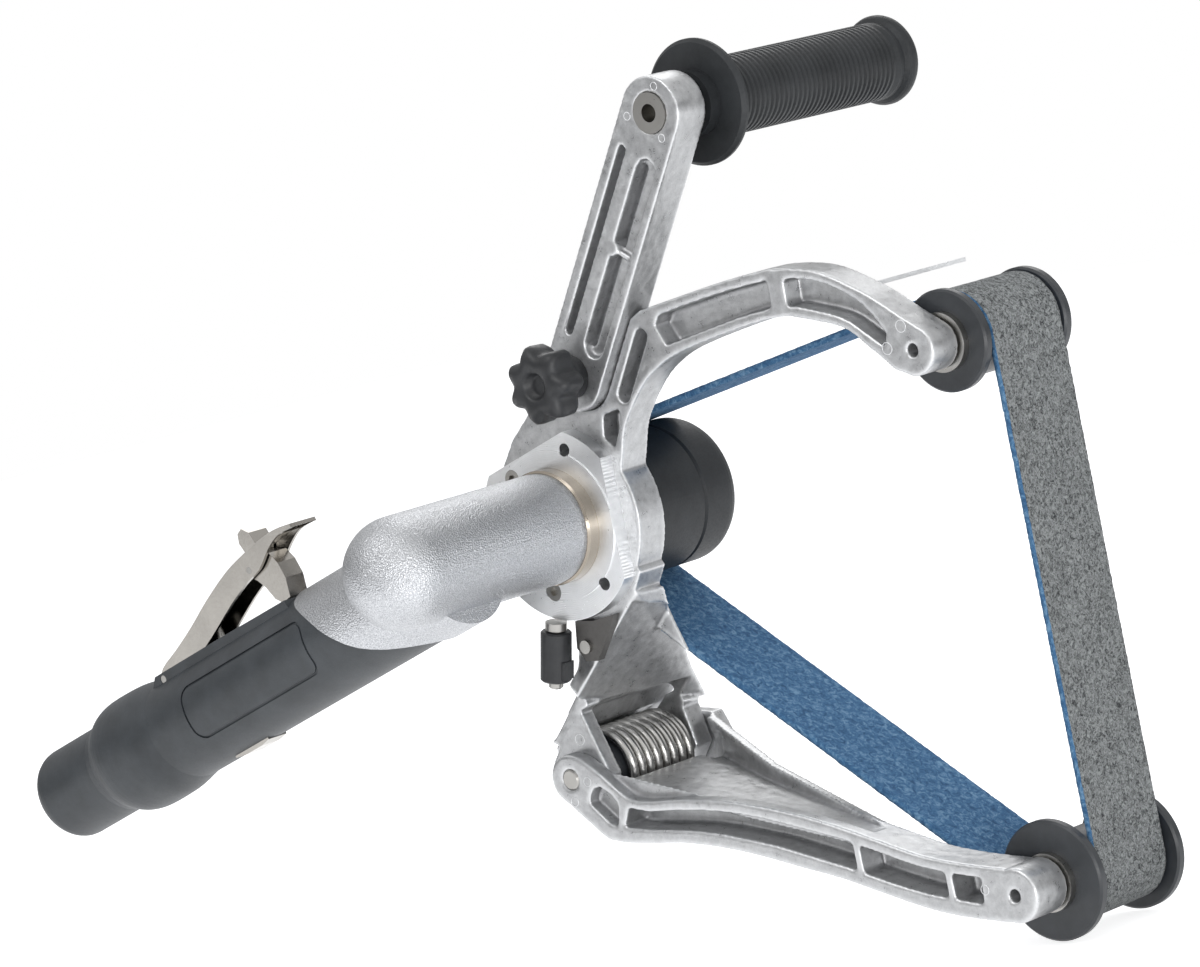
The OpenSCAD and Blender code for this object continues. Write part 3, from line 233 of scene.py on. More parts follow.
def cast_aluminium(name, low=0.34, high=0.62, rough=(0.24, 0.42), wave=0.0005, grain=0.12):
    """Tumbled die casting: uneven grey, polished rims, corners darkened as painted shade."""
    material, tree, shader = finish_of(name)
    skin = place(tree, CAST_SKIN, Grain_share=grain)
    edges = place(tree, EDGE_SHINE)
    greys = [(0.3, (low, low * 1.01, low * 1.03)), (0.72, (high, high * 1.01, high * 1.02))]
    body = ramp(tree, skin["Tone"], greys)
    rimmed = mix_colour(tree, edges["Edge"], body, (0.93, 0.94, 0.95))
    # Corners are mixed towards dark grey: painted shade.
    tree.links.new(mix_colour(tree, edges["Corner"], rimmed, (0.3, 0.3, 0.31)), shader.inputs["Base Color"])
    dull = add(tree, "ShaderNodeMapRange", {"Value": skin["Tone"], "From Min": 0.3, "From Max": 0.7,
                                            "To Min": rough[0], "To Max": rough[1]}).outputs[0]
    tree.links.new(dull, shader.inputs["Roughness"])
    shader.inputs["Metallic"].default_value = 0.72
    bump(tree, shader, skin["Height"], wave)
    return material


def blasted_aluminium(name):
    """Shot-blasted casting that glints all over."""
    material, tree, shader = finish_of(name)
    coords = add(tree, "ShaderNodeTexCoord").outputs["Object"]
    pits = add(tree, "ShaderNodeTexVoronoi", {"Vector": coords, "Scale": 1500.0}).outputs["Distance"]
    speckle = noise_of(tree, coords, 2600.0, 2.0, 0.7)
    greys = [(0.35, (0.36, 0.37, 0.39)), (0.7, (0.76, 0.77, 0.79))]
    tree.links.new(ramp(tree, speckle, greys), shader.inputs["Base Color"])
    shader.inputs["Metallic"].default_value = 1
    tree.links.new(ramp(tree, speckle, [(0.3, 0.5), (0.7, 0.28)]), shader.inputs["Roughness"])
    bump(tree, shader, pits, 0.0003, 0.8)
    return material


def machined(name, colour, rough, centre=(0, 0), pitch=0.0007, depth=0.00002):
    """Lathe-turned metal with fine rings round its centre."""
    material, tree, shader = finish_of(name)
    rings = place(tree, TURNED_RINGS, Centre_X=centre[0], Centre_Z=centre[1], Pitch=pitch)
    grain = place(tree, MOULDED_GRAIN, Grain_scale=900)
    darker = tuple(0.86 * c for c in colour)
    tree.links.new(ramp(tree, grain["Tone"], [(0.3, darker), (0.7, colour)]), shader.inputs["Base Color"])
    dull = ramp(tree, grain["Height"], [(0.3, rough * 0.8), (0.7, rough * 1.25)])
    tree.links.new(dull, shader.inputs["Roughness"])
    shader.inputs["Metallic"].default_value = 1
    bump(tree, shader, rings["Height"], depth)
    return material


def plated(name, colour, rough):
    """Bright plated sheet or wire with faint drawing marks."""
    material, tree, shader = finish_of(name)
    grain = place(tree, MOULDED_GRAIN, Grain_scale=700)
    darker = tuple(0.9 * c for c in colour)
    tree.links.new(ramp(tree, grain["Tone"], [(0.35, darker), (0.65, colour)]), shader.inputs["Base Color"])
    dull = ramp(tree, grain["Height"], [(0.3, rough * 0.9), (0.7, rough * 1.15)])
    tree.links.new(dull, shader.inputs["Roughness"])
    shader.inputs["Metallic"].default_value = 1
    bump(tree, shader, grain["Height"], 0.00001)
    return material


def moulded(name, colour, rough, scale=1500, depth=0.00006, specular=0.5):
    """Moulded plastic or rubber: dark and evenly grained."""
    material, tree, shader = finish_of(name)
    grain = place(tree, MOULDED_GRAIN, Grain_scale=scale)
    lighter = tuple(1.5 * c + 0.006 for c in colour)
    tree.links.new(ramp(tree, grain["Tone"], [(0.35, colour), (0.7, lighter)]), shader.inputs["Base Color"])
    dull = ramp(tree, grain["Height"], [(0.3, rough * 0.85), (0.7, min(1.0, rough * 1.15))])
    tree.links.new(dull, shader.inputs["Roughness"])
    shader.inputs["Specular IOR Level"].default_value = specular
    bump(tree, shader, grain["Height"], depth)
    return material


def belt_grit(name):
    """Grey nonwoven face: curly light fibres over black grit and pits."""
    material, tree, shader = finish_of(name)
    coords = add(tree, "ShaderNodeTexCoord").outputs["Object"]
    worms = noise_of(tree, coords, 620.0, 5.0, 0.62, 1.4)
    fibre = noise_of(tree, coords, 2100.0, 4.0, 0.7, 0.8)
    blend = blend_of(tree, worms, fibre, 0.7, 0.3)
    greys = [
        (0.40, (0.03, 0.032, 0.035)), (0.47, (0.17, 0.18, 0.18)),
        (0.54, (0.3, 0.315, 0.315)), (0.66, (0.46, 0.48, 0.48)),
    ]
    tree.links.new(ramp(tree, blend, greys), shader.inputs["Base Color"])
    shader.inputs["Roughness"].default_value = 0.82
    bump(tree, shader, blend, 0.0012)
    return material


def belt_backing(name):
    """Blue mottled backing with pale fibres."""
    material, tree, shader = finish_of(name)
    coords = add(tree, "ShaderNodeTexCoord").outputs["Object"]
    mottle = noise_of(tree, coords, 420.0, 6.0, 0.68, 0.9)
    blues = [(0.34, (0.025, 0.085, 0.19)), (0.5, (0.06, 0.17, 0.33)), (0.66, (0.2, 0.36, 0.53))]
    tree.links.new(ramp(tree, mottle, blues), shader.inputs["Base Color"])
    shader.inputs["Roughness"].default_value = 0.9
    bump(tree, shader, mottle, 0.0005)
    return material


FINISH = {
    "cast_aluminium": cast_aluminium("tumbled casting"),
    "machined_aluminium": machined("turned aluminium", (0.93, 0.94, 0.95), 0.34),
    "blasted_aluminium": blasted_aluminium("blasted casting"),
    "steel": plated("ground steel", (0.42, 0.41, 0.39), 0.3),
    "bright_plate": plated("bright plate", (0.42, 0.4, 0.37), 0.2),
    "nickel": machined("warm nickel", (0.36, 0.32, 0.27), 0.18, pitch=0.0004, depth=0.000004),
    "bronze": machined("turned bronze", (0.72, 0.5, 0.26), 0.35),
    "vane_resin": moulded("vane laminate", (0.2, 0.12, 0.06), 0.6),
    "black_plastic": moulded("black nylon", (0.018, 0.019, 0.021), 0.42, 900, 0.00004),
    "casing_composite": moulded("casing composite", (0.032, 0.037, 0.042), 0.46, 2300, 0.00007),
    "roller_plastic": moulded("roller plastic", (0.028, 0.031, 0.035), 0.38, 900, 0.00003),
    "black_rubber": moulded("black rubber", (0.016, 0.018, 0.02), 0.5, 1200, 0.00004, 0.4),
    "belt": belt_grit("grey nonwoven"),
}
BACKING = belt_backing("blue backing")
SPRING_STEEL = plated("spring wire", (0.6, 0.59, 0.57), 0.24)
# Darker copy of the casting for the tracking bracket alone: painted shade, where the gear head shadows it.
SHADED = plated("shade painted casting", (0.16, 0.155, 0.15), 0.5)

for part in frame["record"]["subparts"]:
    solid = frame["nodes"][part["node"]]
    solid.data.materials.clear()
    # The tracking bracket takes the dark copy as painted shade; every other part takes its slot's finish.
    finish = SHADED if part["node"] == "tracking_bracket" else FINISH[part["material_slot"]]
    solid.data.materials.append(finish)


def body_named(node):
    """Body that carries a CAD node."""
    return next(body for body, nodes in frame["record"]["behaviour"]["bodies"].items() if node in nodes)


def new_object(name, mesh, *materials):
    piece = bpy.data.objects.new(name, mesh)
    bpy.context.scene.collection.objects.link(piece)
    for material in materials:
        if material.name not in [m.name for m in mesh.materials if m]:
            mesh.materials.append(material)
    return piece


def baked(piece):
    """Applies a piece's modifiers and gives it back as a plain mesh."""
    bpy.context.view_layer.update()
    depsgraph = bpy.context.evaluated_depsgraph_get()
    mesh = bpy.data.meshes.new_from_object(piece.evaluated_get(depsgraph))
    piece.modifiers.clear()
    if piece.type != "MESH":
        name = piece.name
        bpy.data.objects.remove(piece)
        return new_object(name, mesh)
    piece.data = mesh
    return piece


def mesh_of(name, form):
    """Writes a form out as a mesh and frees it."""
    mesh = bpy.data.meshes.new(name)
    form.to_mesh(mesh)
    form.free()
    return mesh


def solid_mesh(name, corners, faces):
    """Closed mesh in millimetres with outward faces."""
    form = bmesh.new()
    verts = [form.verts.new(Vector(corner) * MM) for corner in corners]
    for face in faces:
        form.faces.new([verts[k] for k in face])
    bmesh.ops.recalc_face_normals(form, faces=form.faces)
    return mesh_of(name, form)


def wedge(lower, upper):
    """Block between two rings of as many corners, as (corners, faces)."""
    size = len(lower)
    sides = [(k, (k + 1) % size, size + (k + 1) % size, size + k) for k in range(size)]
    return list(lower) + list(upper), [tuple(range(size)), tuple(range(size, 2 * size))] + sides


def prism(outline, near, far):
    """Outline in X and Z given thickness along Y, as (corners, faces)."""
    return wedge([(x, near, z) for x, z in outline], [(x, far, z) for x, z in outline])


def disc(at, radius, steps=28):
    angles = [2 * math.pi * k / steps for k in range(steps)]
    return [(at[0] + radius * math.cos(a), at[1] + radius * math.sin(a)) for a in angles]


def long_hole(a, b, width, steps=8):
    """Outline of a slot with round ends."""
    turn = math.atan2(b[1] - a[1], b[0] - a[0])
    points = []
    for end, start in ((a, turn + math.pi / 2), (b, turn - math.pi / 2)):
        for k in range(steps + 1):
            angle = start + math.pi * k / steps
            points.append((end[0] + width / 2 * math.cos(angle), end[1] + width / 2 * math.sin(angle)))
    return points


def shaped(piece, operation, forms):
    """Joins or cuts closed forms into a piece, one after another."""
    tools = []
    for k, form in enumerate(forms):
        name = "tool_" + str(k)
        tool = new_object(name, solid_mesh(name, *form))
        change = piece.modifiers.new(name, "BOOLEAN")
        change.operation = operation
        change.solver = "EXACT"
        change.object = tool
        tools.append(tool)
    baked(piece)
    for tool in tools:
        bpy.data.objects.remove(tool)


def soft_edged(node, voxel, passes, steps):
    """Casting with the rounded edges that tumbling leaves, after the given joins and cuts."""
    source = frame["nodes"][node]
    form = bmesh.new()
    form.from_mesh(source.data)
    bmesh.ops.remove_doubles(form, verts=form.verts, dist=WELD)
    piece = new_object(node + "_skin", mesh_of(node + "_skin", form))
    for operation, forms in steps:
        shaped(piece, operation, forms)
    shell = piece.modifiers.new("Shell", "REMESH")
    shell.mode = "VOXEL"
    shell.voxel_size = voxel
    shell.use_smooth_shade = True
    smooth = piece.modifiers.new("Tumbled", "SMOOTH")
    smooth.factor = 0.5
    smooth.iterations = passes
    piece = baked(piece)
    piece.data.materials.clear()
    piece.data.materials.append(source.data.materials[0])
    piece.data.polygons.foreach_set("use_smooth", [True] * len(piece.data.polygons))
    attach(piece, body_named(node))
    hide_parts(node)


# Castings, in millimetres: the fork's flat front with its lintel and back wall, cut to one plane
EAR_IN = 17.95
EAR_OUT = 61.95
FORK_NORMAL = Vector((0.667, -0.177, -0.724))
FORK_FACE = [Vector(p) for p in (
    (24.6, 7, -32.3), (-13.8, 7, -67.7), (-11.3, 76.4, -82.4), (-0.9, 60.5, -68.9),
    (10.8, 45.1, -54.4), (17.6, 34.2, -45.4), (28.7, 20.9, -32),
)]
FORK_ACROSS = (FORK_FACE[2] - FORK_FACE[1]).normalized()
FORK_UPWARD = (FORK_FACE[0] - FORK_FACE[1]).normalized()


def fork_front(thick=7):
    """Plate behind the fork's plane."""
    return wedge(FORK_FACE, [p - FORK_NORMAL * thick for p in FORK_FACE])


def fork_waste(near=-6, far=78, deep=26):
    """Everything that stands in front of the fork's plane, clear of the hub."""
    top, foot = FORK_FACE[:2]
    ends = [top + FORK_ACROSS * near, foot + FORK_ACROSS * near,
            foot + FORK_ACROSS * far, top + FORK_ACROSS * far]
    return wedge(ends, [p + FORK_NORMAL * deep for p in ends])


def fork_lintel(near=12, far=65, top_far=43, high=12, front=2, back=15):
    """Thicker strip of the plate over the window."""
    foot = FORK_FACE[1] + FORK_UPWARD * 0.6
    ends = [foot + FORK_ACROSS * near, foot + FORK_ACROSS * far,
            foot + FORK_ACROSS * top_far + FORK_UPWARD * high, foot + FORK_ACROSS * near + FORK_UPWARD * high]
    return wedge([p - FORK_NORMAL * front for p in ends], [p - FORK_NORMAL * back for p in ends])


# Web beside the belt's near edge, between the hub and the plate
edge_web = prism([
    (11.7, -36.7), (20.4, -36.4), (23.9, -47.1), (28.2, -58.4), (26.1, -56.6), (15.9, -48.1), (9, -44),
], 28.3, 30.3)
window_wall = prism([
    (-14, -68.5), (-18, -67), (-29, -79), (-35.5, -85), (-33.2, -86.4), (-26, -81.7), (-18.5, -73.5),
    (-13, -72.5),
], 11.2, 71.5)
wall_foot = prism([
    (-27, -78.5), (-31, -80.5), (-38.5, -88), (-38.5, -91.5), (-33.2, -85.8), (-26.5, -81.3),
], EAR_IN - 2, EAR_OUT + 2)
window = prism([
    (12, -73), (-15.6, -71.7), (-16.5, -76), (-24, -81.8), (-50, -84), (-50, -104), (12, -104),
], EAR_IN, EAR_OUT)
soft_edged("main_frame", voxel=0.8 * MM, passes=4, steps=[
    ("DIFFERENCE", [fork_waste()]), ("UNION", [fork_front(), fork_lintel(), window_wall]),
    ("DIFFERENCE", [window]), ("UNION", [wall_foot, edge_web]),
])


# Lower arm: flat deck between its beam and a far rim, and a small pocket by the hinge
def above(floor, top):
    """Block that stands on a floor's corners and ends level at a height."""
    return wedge(floor, [(x, y, top) for x, y, _ in floor])


deck_waste = [
    above([(-9, 10.6, -101.6), (40, 10.6, -112.2), (40, 46.5, -112.2), (-9, 69.5, -101.6)], -80),
    above([(39.9, 10.6, -112.2), (118, 10.6, -128.3), (118, 17, -128.3), (39.9, 46.6, -112.2)], -90),
]
deck_notch = above([(-12, 60, -108), (3, 58.5, -108), (3, 66.5, -108), (-12, 70, -108)], -95)
hinge_pocket = prism([
    (-14, -105), (-11.5, -102.6), (-8.5, -102.3), (-3.5, -105.8), (-1, -109.5), (-3, -118), (-7, -116.5),
    (-15.3, -108.5),
], 2.6, 9.6)
soft_edged("lower_arm", voxel=0.8 * MM, passes=4, steps=[
    ("DIFFERENCE", deck_waste + [deck_notch, hinge_pocket]),
])

# Handle arm: two deep grooves, a wide shallow one beside the second, and a boss and a rib between them
UP_ARM = Vector((math.sin(HANDLE_LEAN), math.cos(HANDLE_LEAN)))
SIDE_ARM = Vector((UP_ARM.y, -UP_ARM.x))


def on_handle(along, side):
    """Place on the arm in millimetres, along it from its pivot and to its right."""
    at = PIVOT / MM + UP_ARM * along + SIDE_ARM * side
    return at.x, at.y


def handle_groove(start, end, side, width, depth):
    near = HANDLE_FACE / MM
    return prism(long_hole(on_handle(start, side), on_handle(end, side), width), near - 1, near + depth)


handle_fill = prism([on_handle(12, -11), on_handle(12, 11), on_handle(96, 11), on_handle(96, -11)], 2, 14)
handle_boss = prism(disc(on_handle(55.5, 0.4), 3), 2, 12)
handle_rib = prism([on_handle(54.2, 0), on_handle(54.2, 10), on_handle(56.2, 10), on_handle(56.2, 0)], 3, 12)
handle_grooves = [
    handle_groove(16, 93, side=-7.6, width=3.6, depth=8),
    handle_groove(16, 91, side=5.6, width=9, depth=3.2),
    handle_groove(16, 90, side=2.4, width=3.4, depth=8),
]
soft_edged("handle_arm", voxel=0.7 * MM, passes=3, steps=[
    ("UNION", [handle_fill]), ("DIFFERENCE", handle_grooves), ("UNION", [handle_boss, handle_rib]),
])


# Star knob, rounder than a turned outline
def make_knob(lobes=7, steps=12):
    """Soft star from rings of (place along Y, radius, height of the lobes), dished at the front."""
    levels = [
        (-16.4, 3.2, 0), (-16.6, 4.4, 0), (-19.2, 4.9, 0), (-19.9, 6, 0.1), (-20, 9.4, 0.8),
        (-19.2, 12, 1.5), (-17.4, 13.2, 1.75), (-15, 13.5, 1.8), (-9, 13.3, 1.7), (-7, 12.4, 1.4),
        (-5.8, 10.4, 0.6), (-2, 8.4, 0), (1.9, 8.2, 0),
    ]
    turned = 0.6
    rings = []
    form = bmesh.new()
    for y, radius, wave in levels:
        ring = []
        for k in range(lobes * steps):
            angle = 2 * math.pi * k / (lobes * steps)
            out = (radius + wave * math.cos(lobes * angle + turned)) * MM
            at = PIVOT + Vector((out * math.cos(angle), out * math.sin(angle)))
            ring.append(form.verts.new((at.x, y * MM, at.y)))
        rings.append(ring)
    for one, two in zip(rings, rings[1:]):
        for k in range(len(one)):
            form.faces.new((one[k], one[(k + 1) % len(one)], two[(k + 1) % len(one)], two[k]))
    form.faces.new(rings[0])
    form.faces.new(rings[-1])
    bmesh.ops.recalc_face_normals(form, faces=form.faces)
    for face in form.faces:
        face.smooth = len(face.verts) == 4
    return new_object("soft_star_knob", mesh_of("soft_star_knob", form), FINISH["black_plastic"])


knob = make_knob()
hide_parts("star_knob")
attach(knob, "clamp_knob")


# Belt
EDGE_BAND = 0.5 * MM
EDGE_BULGE = 0.1 * MM
FRAY = 0.35 * MM
FRAY_SCALE = 900
NAP = 0.12 * MM
NAP_SCALE = 520


def arc_points(centre, radius, start, stop, step=0.8 * MM):
    count = max(2, int(abs(stop - start) * radius / step))
    angles = [start + (stop - start) * i / count for i in range(count + 1)]
    return [(centre + radius * Vector((math.cos(a), math.sin(a))), a) for a in angles]


def straight_points(a, b, angle, step=1.0 * MM):
    count = int((b - a).length / step)
    return [(a.lerp(b, i / count), angle) for i in range(1, count)]


def belt_route():
    """Points along the belt's inner face, each with the angle of its outward side."""
    def run(a, ra, b, rb):
        return math.atan2(b.y - a.y, b.x - a.x) - math.acos((ra - rb) / (b - a).length)
    wheel_r = WHEEL_R + BELT_GAP
    core_r = CORE_R + BELT_GAP
    upper = run(TOP_NOSE, core_r, WHEEL, wheel_r) + 2 * math.pi
    lower = run(WHEEL, wheel_r, BOTTOM_NOSE, core_r)
    round_wheel = arc_points(WHEEL, wheel_r, upper, lower + 2 * math.pi)
    round_bottom = arc_points(BOTTOM_NOSE, core_r, lower, 0)
    round_top = arc_points(TOP_NOSE, core_r, 0, upper)
    route = round_wheel + straight_points(round_wheel[-1][0], round_bottom[0][0], lower)
    route += round_bottom + straight_points(round_bottom[-1][0], round_top[0][0], 0)
    return route + round_top + straight_points(round_top[-1][0], round_wheel[0][0], upper)


def belt_section(across=36):
    """Section as (share of thickness, place along Y), outer face first, and the faces across it."""
    half = BELT_W / 2
    outer = [(1.0, -half + BELT_W * i / across) for i in range(across + 1)]
    inner = [(0.0, half - BELT_W * i / across) for i in range(across + 1)]
    return outer + [(0.5, half + EDGE_BULGE)] + inner + [(0.5, -half - EDGE_BULGE)], across


def make_belt():
    """Closed loop with a rough outer face and frayed edges."""
    route = belt_route()
    section, across = belt_section()
    form = bmesh.new()
    rows = []
    for at, angle in route:
        out = Vector((math.cos(angle), 0, math.sin(angle)))
        row = []
        for share, y in section:
            point = Vector((at.x, BELT_MID + y, at.y))
            fray = noise.noise(point * FRAY_SCALE) * (FRAY if abs(y) > BELT_W / 2 - EDGE_BAND else 0)
            nap = noise.noise(point * NAP_SCALE) * NAP if share > 0.9 else 0
            row.append(form.verts.new(point + out * (BELT_T * share + nap) + Vector((0, fray, 0))))
        rows.append(row)
    size = len(section)
    for i, row in enumerate(rows):
        after = rows[(i + 1) % len(rows)]
        for k in range(size):
            face = form.faces.new((row[k], after[k], after[(k + 1) % size], row[(k + 1) % size]))
            face.material_index = 0 if k < across else 1
            face.smooth = True
    bmesh.ops.recalc_face_normals(form, faces=form.faces)
    return new_object("sanding_belt", mesh_of("sanding_belt", form), FINISH["belt"], BACKING)


belt = make_belt()
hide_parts("abrasive_belt")
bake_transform(belt)


# Torsion spring
def tube_along(name, points, radius, material, sides=14):
    """Round wire through points, made by a Geometry Nodes tree with its thickness as an input."""
    curve = bpy.data.curves.new(name, "CURVE")
    curve.dimensions = "3D"
    spline = curve.splines.new("POLY")
    spline.points.add(len(points) - 1)
    for point, at in zip(spline.points, points):
        point.co = (*at, 1)
    wire = bpy.data.objects.new(name, curve)
    bpy.context.scene.collection.objects.link(wire)
    tree = bpy.data.node_groups.new(name + " wire", "GeometryNodeTree")
    tree.interface.new_socket("Wire", in_out="INPUT", socket_type="NodeSocketGeometry")
    thickness = tree.interface.new_socket("Wire radius", in_out="INPUT", socket_type="NodeSocketFloat")
    tree.interface.new_socket("Mesh", in_out="OUTPUT", socket_type="NodeSocketGeometry")
    start = tree.nodes.new("NodeGroupInput").outputs
    ring = add(tree, "GeometryNodeCurvePrimitiveCircle", {
        "Resolution": sides, "Radius": start["Wire radius"]})
    swept = add(tree, "GeometryNodeCurveToMesh", {
        "Curve": start["Wire"], "Profile Curve": ring.outputs["Curve"], "Fill Caps": True})
    real = add(tree, "GeometryNodeRealizeInstances", {"Geometry": swept.outputs["Mesh"]})
    painted = add(tree, "GeometryNodeSetMaterial", {
        "Geometry": real.outputs["Geometry"], "Material": material})
    end = tree.nodes.new("NodeGroupOutput").inputs
    tree.links.new(painted.outputs["Geometry"], end["Mesh"])
    sweep = wire.modifiers.new("Sweep", "NODES")
    sweep.node_group = tree
    sweep[thickness.identifier] = radius
    piece = baked(wire)
    for face in piece.data.polygons:
        face.use_smooth = True
    return piece


COIL_R = 14.2 * MM
COIL_WIRE = 2 * MM
COIL_PITCH = 4.7 * MM
COIL_FROM = 22 * MM
COIL_TURNS = 8
COIL_START = math.radians(200)
LEG = 12 * MM


def coil_points(steps=40):
    """Leg under the frame, eight turns round the hinge, and a leg on the arm's deck."""
    turns = []
    for i in range(COIL_TURNS * steps + 1):
        a = COIL_START - 2 * math.pi * i / steps
        y = COIL_FROM + COIL_PITCH * i / steps
        turns.append(Vector((HINGE.x + COIL_R * math.cos(a), y, HINGE.y + COIL_R * math.sin(a))))
    way = Vector((-math.sin(COIL_START), 0, math.cos(COIL_START)))
    return [turns[0] + LEG * way] + turns + [turns[-1] - LEG * way]


spring = tube_along("hinge_spring", coil_points(), COIL_WIRE, SPRING_STEEL)
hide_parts("torsion_spring")
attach(spring, "frame")


# Valve spring: a fixed coil in the valve's chamber, which the lever of the real tool presses towards its seat
MOTOR_TILT = math.radians(17.25)
CASE_UP = Vector((-math.sin(MOTOR_TILT), 0, math.cos(MOTOR_TILT)))
CASE_BACK = Vector((-math.cos(MOTOR_TILT), 0, -math.sin(MOTOR_TILT)))
MOTOR_AXIS = Vector((0, -62, 0)) * MM - 5 * MM * CASE_UP
VALVE_AT = 128 * MM
VALVE_COIL_TOP = -3.45 * MM
VALVE_COIL_R = 3 * MM
VALVE_WIRE = 0.35 * MM
VALVE_PITCH = 1.4 * MM
VALVE_TURNS = 4


def valve_coil_points(steps=24):
    """Four turns downwards in the valve's chamber."""
    top = MOTOR_AXIS + VALVE_AT * CASE_BACK + VALVE_COIL_TOP * CASE_UP
    points = []
    for i in range(VALVE_TURNS * steps + 1):
        a = 2 * math.pi * i / steps
        around = VALVE_COIL_R * (math.cos(a) * Vector((0, 1, 0)) + math.sin(a) * CASE_BACK)
        points.append(top + around - VALVE_PITCH * i / steps * CASE_UP)
    return points


valve_coil = tube_along("valve_coil", valve_coil_points(), VALVE_WIRE, SPRING_STEEL, sides=8)
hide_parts("valve_spring")
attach(valve_coil, "frame")
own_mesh(valve_coil)


# Round marks that ejector pins leave on the castings
BEAD = 0.16 * MM


def pin_marks(name, body, face, places, radius):
    """Low rings on a casting's near face, one at each place."""
    spots = bpy.data.meshes.new(name)
    spots.from_pydata([(at[0] * MM, face, at[1] * MM) for at in places], [], [])
    piece = new_object(name, spots, FINISH["cast_aluminium"])
    tree = bpy.data.node_groups.new(name + " rings", "GeometryNodeTree")
    tree.interface.new_socket("Spots", in_out="INPUT", socket_type="NodeSocketGeometry")
    size = tree.interface.new_socket("Ring radius", in_out="INPUT", socket_type="NodeSocketFloat")
    tree.interface.new_socket("Rings", in_out="OUTPUT", socket_type="NodeSocketGeometry")
    start = tree.nodes.new("NodeGroupInput").outputs
    path = add(tree, "GeometryNodeCurvePrimitiveCircle", {"Resolution": 28, "Radius": start["Ring radius"]})
    bead = add(tree, "GeometryNodeCurvePrimitiveCircle", {"Resolution": 8, "Radius": BEAD})
    ring = add(tree, "GeometryNodeCurveToMesh", {
        "Curve": path.outputs["Curve"], "Profile Curve": bead.outputs["Curve"]})
    tipped = add(tree, "GeometryNodeTransform", {
        "Geometry": ring.outputs["Mesh"], "Rotation": (math.pi / 2, 0, 0)})
    set_out = add(tree, "GeometryNodeInstanceOnPoints", {
        "Points": start["Spots"], "Instance": tipped.outputs["Geometry"]})
    real = add(tree, "GeometryNodeRealizeInstances", {"Geometry": set_out.outputs["Instances"]})
    painted = add(tree, "GeometryNodeSetMaterial", {
        "Geometry": real.outputs["Geometry"], "Material": FINISH["cast_aluminium"]})
    end = tree.nodes.new("NodeGroupOutput").inputs
    tree.links.new(painted.outputs["Geometry"], end["Rings"])
    marks = piece.modifiers.new("Rings", "NODES")
    marks.node_group = tree
    marks[size.identifier] = radius
    piece = baked(piece)
    for polygon in piece.data.polygons:
        polygon.use_smooth = True
    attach(piece, body)


pin_marks("frame_pin_marks", "frame", FRAME_FACE, [(179.9, 56.0), (171.7, 48.7), (-16.7, -83.9)], 2.2 * MM)
pin_marks("arm_pin_marks", "swing_arm", ARM_FACE, [(-14, -99.8), (-22.6, -107.2), (170.1, -150.3)], 1.8 * MM)
pin_marks("handle_pin_marks", "handle", HANDLE_FACE, [(75.2, 147.4), (89.8, 137.2), (91, 156.4)], 1.5 * MM)


# Floor, lights and camera
def studio_floor():
    """Plain pale floor just under the object, white where the camera looks past it."""
    bpy.ops.mesh.primitive_plane_add(size=6.0, location=(0, 0, cad_box[0].z - 1 * MM))
    floor = bpy.context.object
    floor.name = "studio_floor"
    material, tree, shader = finish_of("studio floor")
    shader.inputs["Base Color"].default_value = (0.82, 0.82, 0.82, 1)
    shader.inputs["Roughness"].default_value = 0.9
    shader.inputs["Specular IOR Level"].default_value = 0.1
    path = add(tree, "ShaderNodeLightPath").outputs
    lit = add(tree, "ShaderNodeEmission", {"Color": (1, 1, 1, 1), "Strength": 0.75})
    both = add(tree, "ShaderNodeAddShader", {0: shader.outputs[0], 1: lit.outputs[0]})
    seen = math_node(tree, "MAXIMUM", path["Is Camera Ray"], path["Is Glossy Ray"])
    choice = add(tree, "ShaderNodeMixShader", {0: seen, 1: shader.outputs[0], 2: both.outputs[0]})
    tree.links.new(choice.outputs[0], tree.nodes["Material Output"].inputs["Surface"])
    floor.data.materials.append(material)


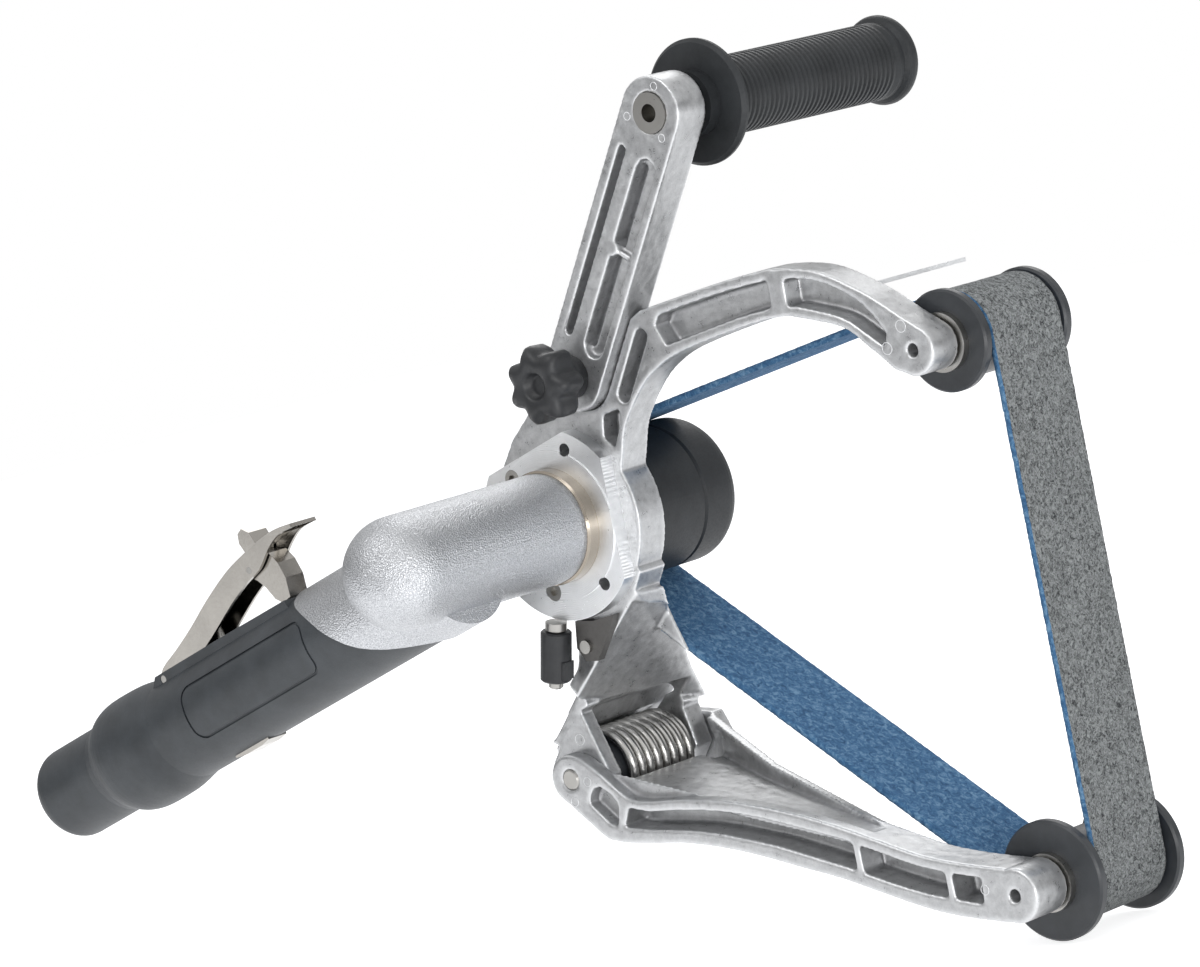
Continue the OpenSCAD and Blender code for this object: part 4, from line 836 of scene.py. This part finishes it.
def studio_world():
    """White to the camera; metal sees white overhead and greyer walls."""
    world = bpy.data.worlds.new("studio")
    bpy.context.scene.world = world
    world.use_nodes = True
    tree = world.node_tree
    tree.nodes.clear()
    coords = add(tree, "ShaderNodeTexCoord").outputs["Generated"]
    split = add(tree, "ShaderNodeSeparateXYZ", {0: coords}).outputs
    walls = noise_of(tree, coords, 1.6, 1.0, 0.4)
    height = blend_of(tree, split[2], walls, 0.6, 1.1)
    seen_by_metal = ramp(tree, height, [(0.3, 0.1), (0.5, 0.26), (0.66, 0.5), (0.9, 0.85)])
    path = add(tree, "ShaderNodeLightPath").outputs
    soft = mix_colour(tree, path["Is Glossy Ray"], (0.62, 0.63, 0.65), seen_by_metal)
    clear = math_node(tree, "MAXIMUM", path["Is Camera Ray"], path["Is Transmission Ray"])
    colour = mix_colour(tree, clear, soft, (1.0, 1.0, 1.0))
    light = add(tree, "ShaderNodeBackground", {"Color": colour, "Strength": 1.0})
    out = tree.nodes.new("ShaderNodeOutputWorld")
    tree.links.new(light.outputs[0], out.inputs["Surface"])


def soft_lamp(name, at, target, size, power):
    """Rectangular area light aimed at a place, its power in watts."""
    data = bpy.data.lights.new(name, "AREA")
    data.shape = "RECTANGLE"
    data.size, data.size_y = size
    data.energy = power
    lamp = bpy.data.objects.new(name, data)
    bpy.context.scene.collection.objects.link(lamp)
    lamp.location = at
    lamp.rotation_mode = "QUATERNION"
    lamp.rotation_quaternion = (Vector(target) - Vector(at)).to_track_quat("-Z", "Y")


def photo_camera(azimuth, elevation, roll, lens, at):
    """Camera at the photograph's view: angles in degrees, roll about the line of sight."""
    a, e, r = (math.radians(value) for value in (azimuth, elevation, roll))
    ahead = Vector((-math.sin(a) * math.cos(e), math.cos(a) * math.cos(e), -math.sin(e)))
    level = Vector((math.cos(a), math.sin(a), 0))
    over = level.cross(ahead)
    right = level * math.cos(r) + over * math.sin(r)
    up = over * math.cos(r) - level * math.sin(r)
    data = bpy.data.cameras.new("photo_camera")
    data.sensor_width = 36
    data.lens = lens
    data.clip_end = 50
    camera = bpy.data.objects.new("photo_camera", data)
    camera.matrix_world = Matrix.Translation(at) @ Matrix((right, up, -ahead)).transposed().to_4x4()
    bpy.context.scene.collection.objects.link(camera)
    bpy.context.scene.camera = camera


studio_floor()
studio_world()
centre = (cad_box[0] + cad_box[1]) / 2
fork_window = (-0.01, 0.04, -0.07)
soft_lamp("key", (0.1, -1.3, 1.5), centre, size=(1.4, 1.0), power=9)
soft_lamp("side", (1.9, 0.1, 0.5), centre, size=(0.7, 1.3), power=4)
soft_lamp("rim", (-0.7, 1.2, 1.2), centre, size=(1.0, 0.7), power=5)
soft_lamp("low", (0.8, -0.5, -0.1), fork_window, size=(0.5, 0.14), power=1.6)
photo_camera(azimuth=43.114, elevation=4.776, roll=-11.496, lens=172.80, at=(1.49895, -1.57227, 0.19382))
bpy.context.scene.view_settings.view_transform = "Standard"
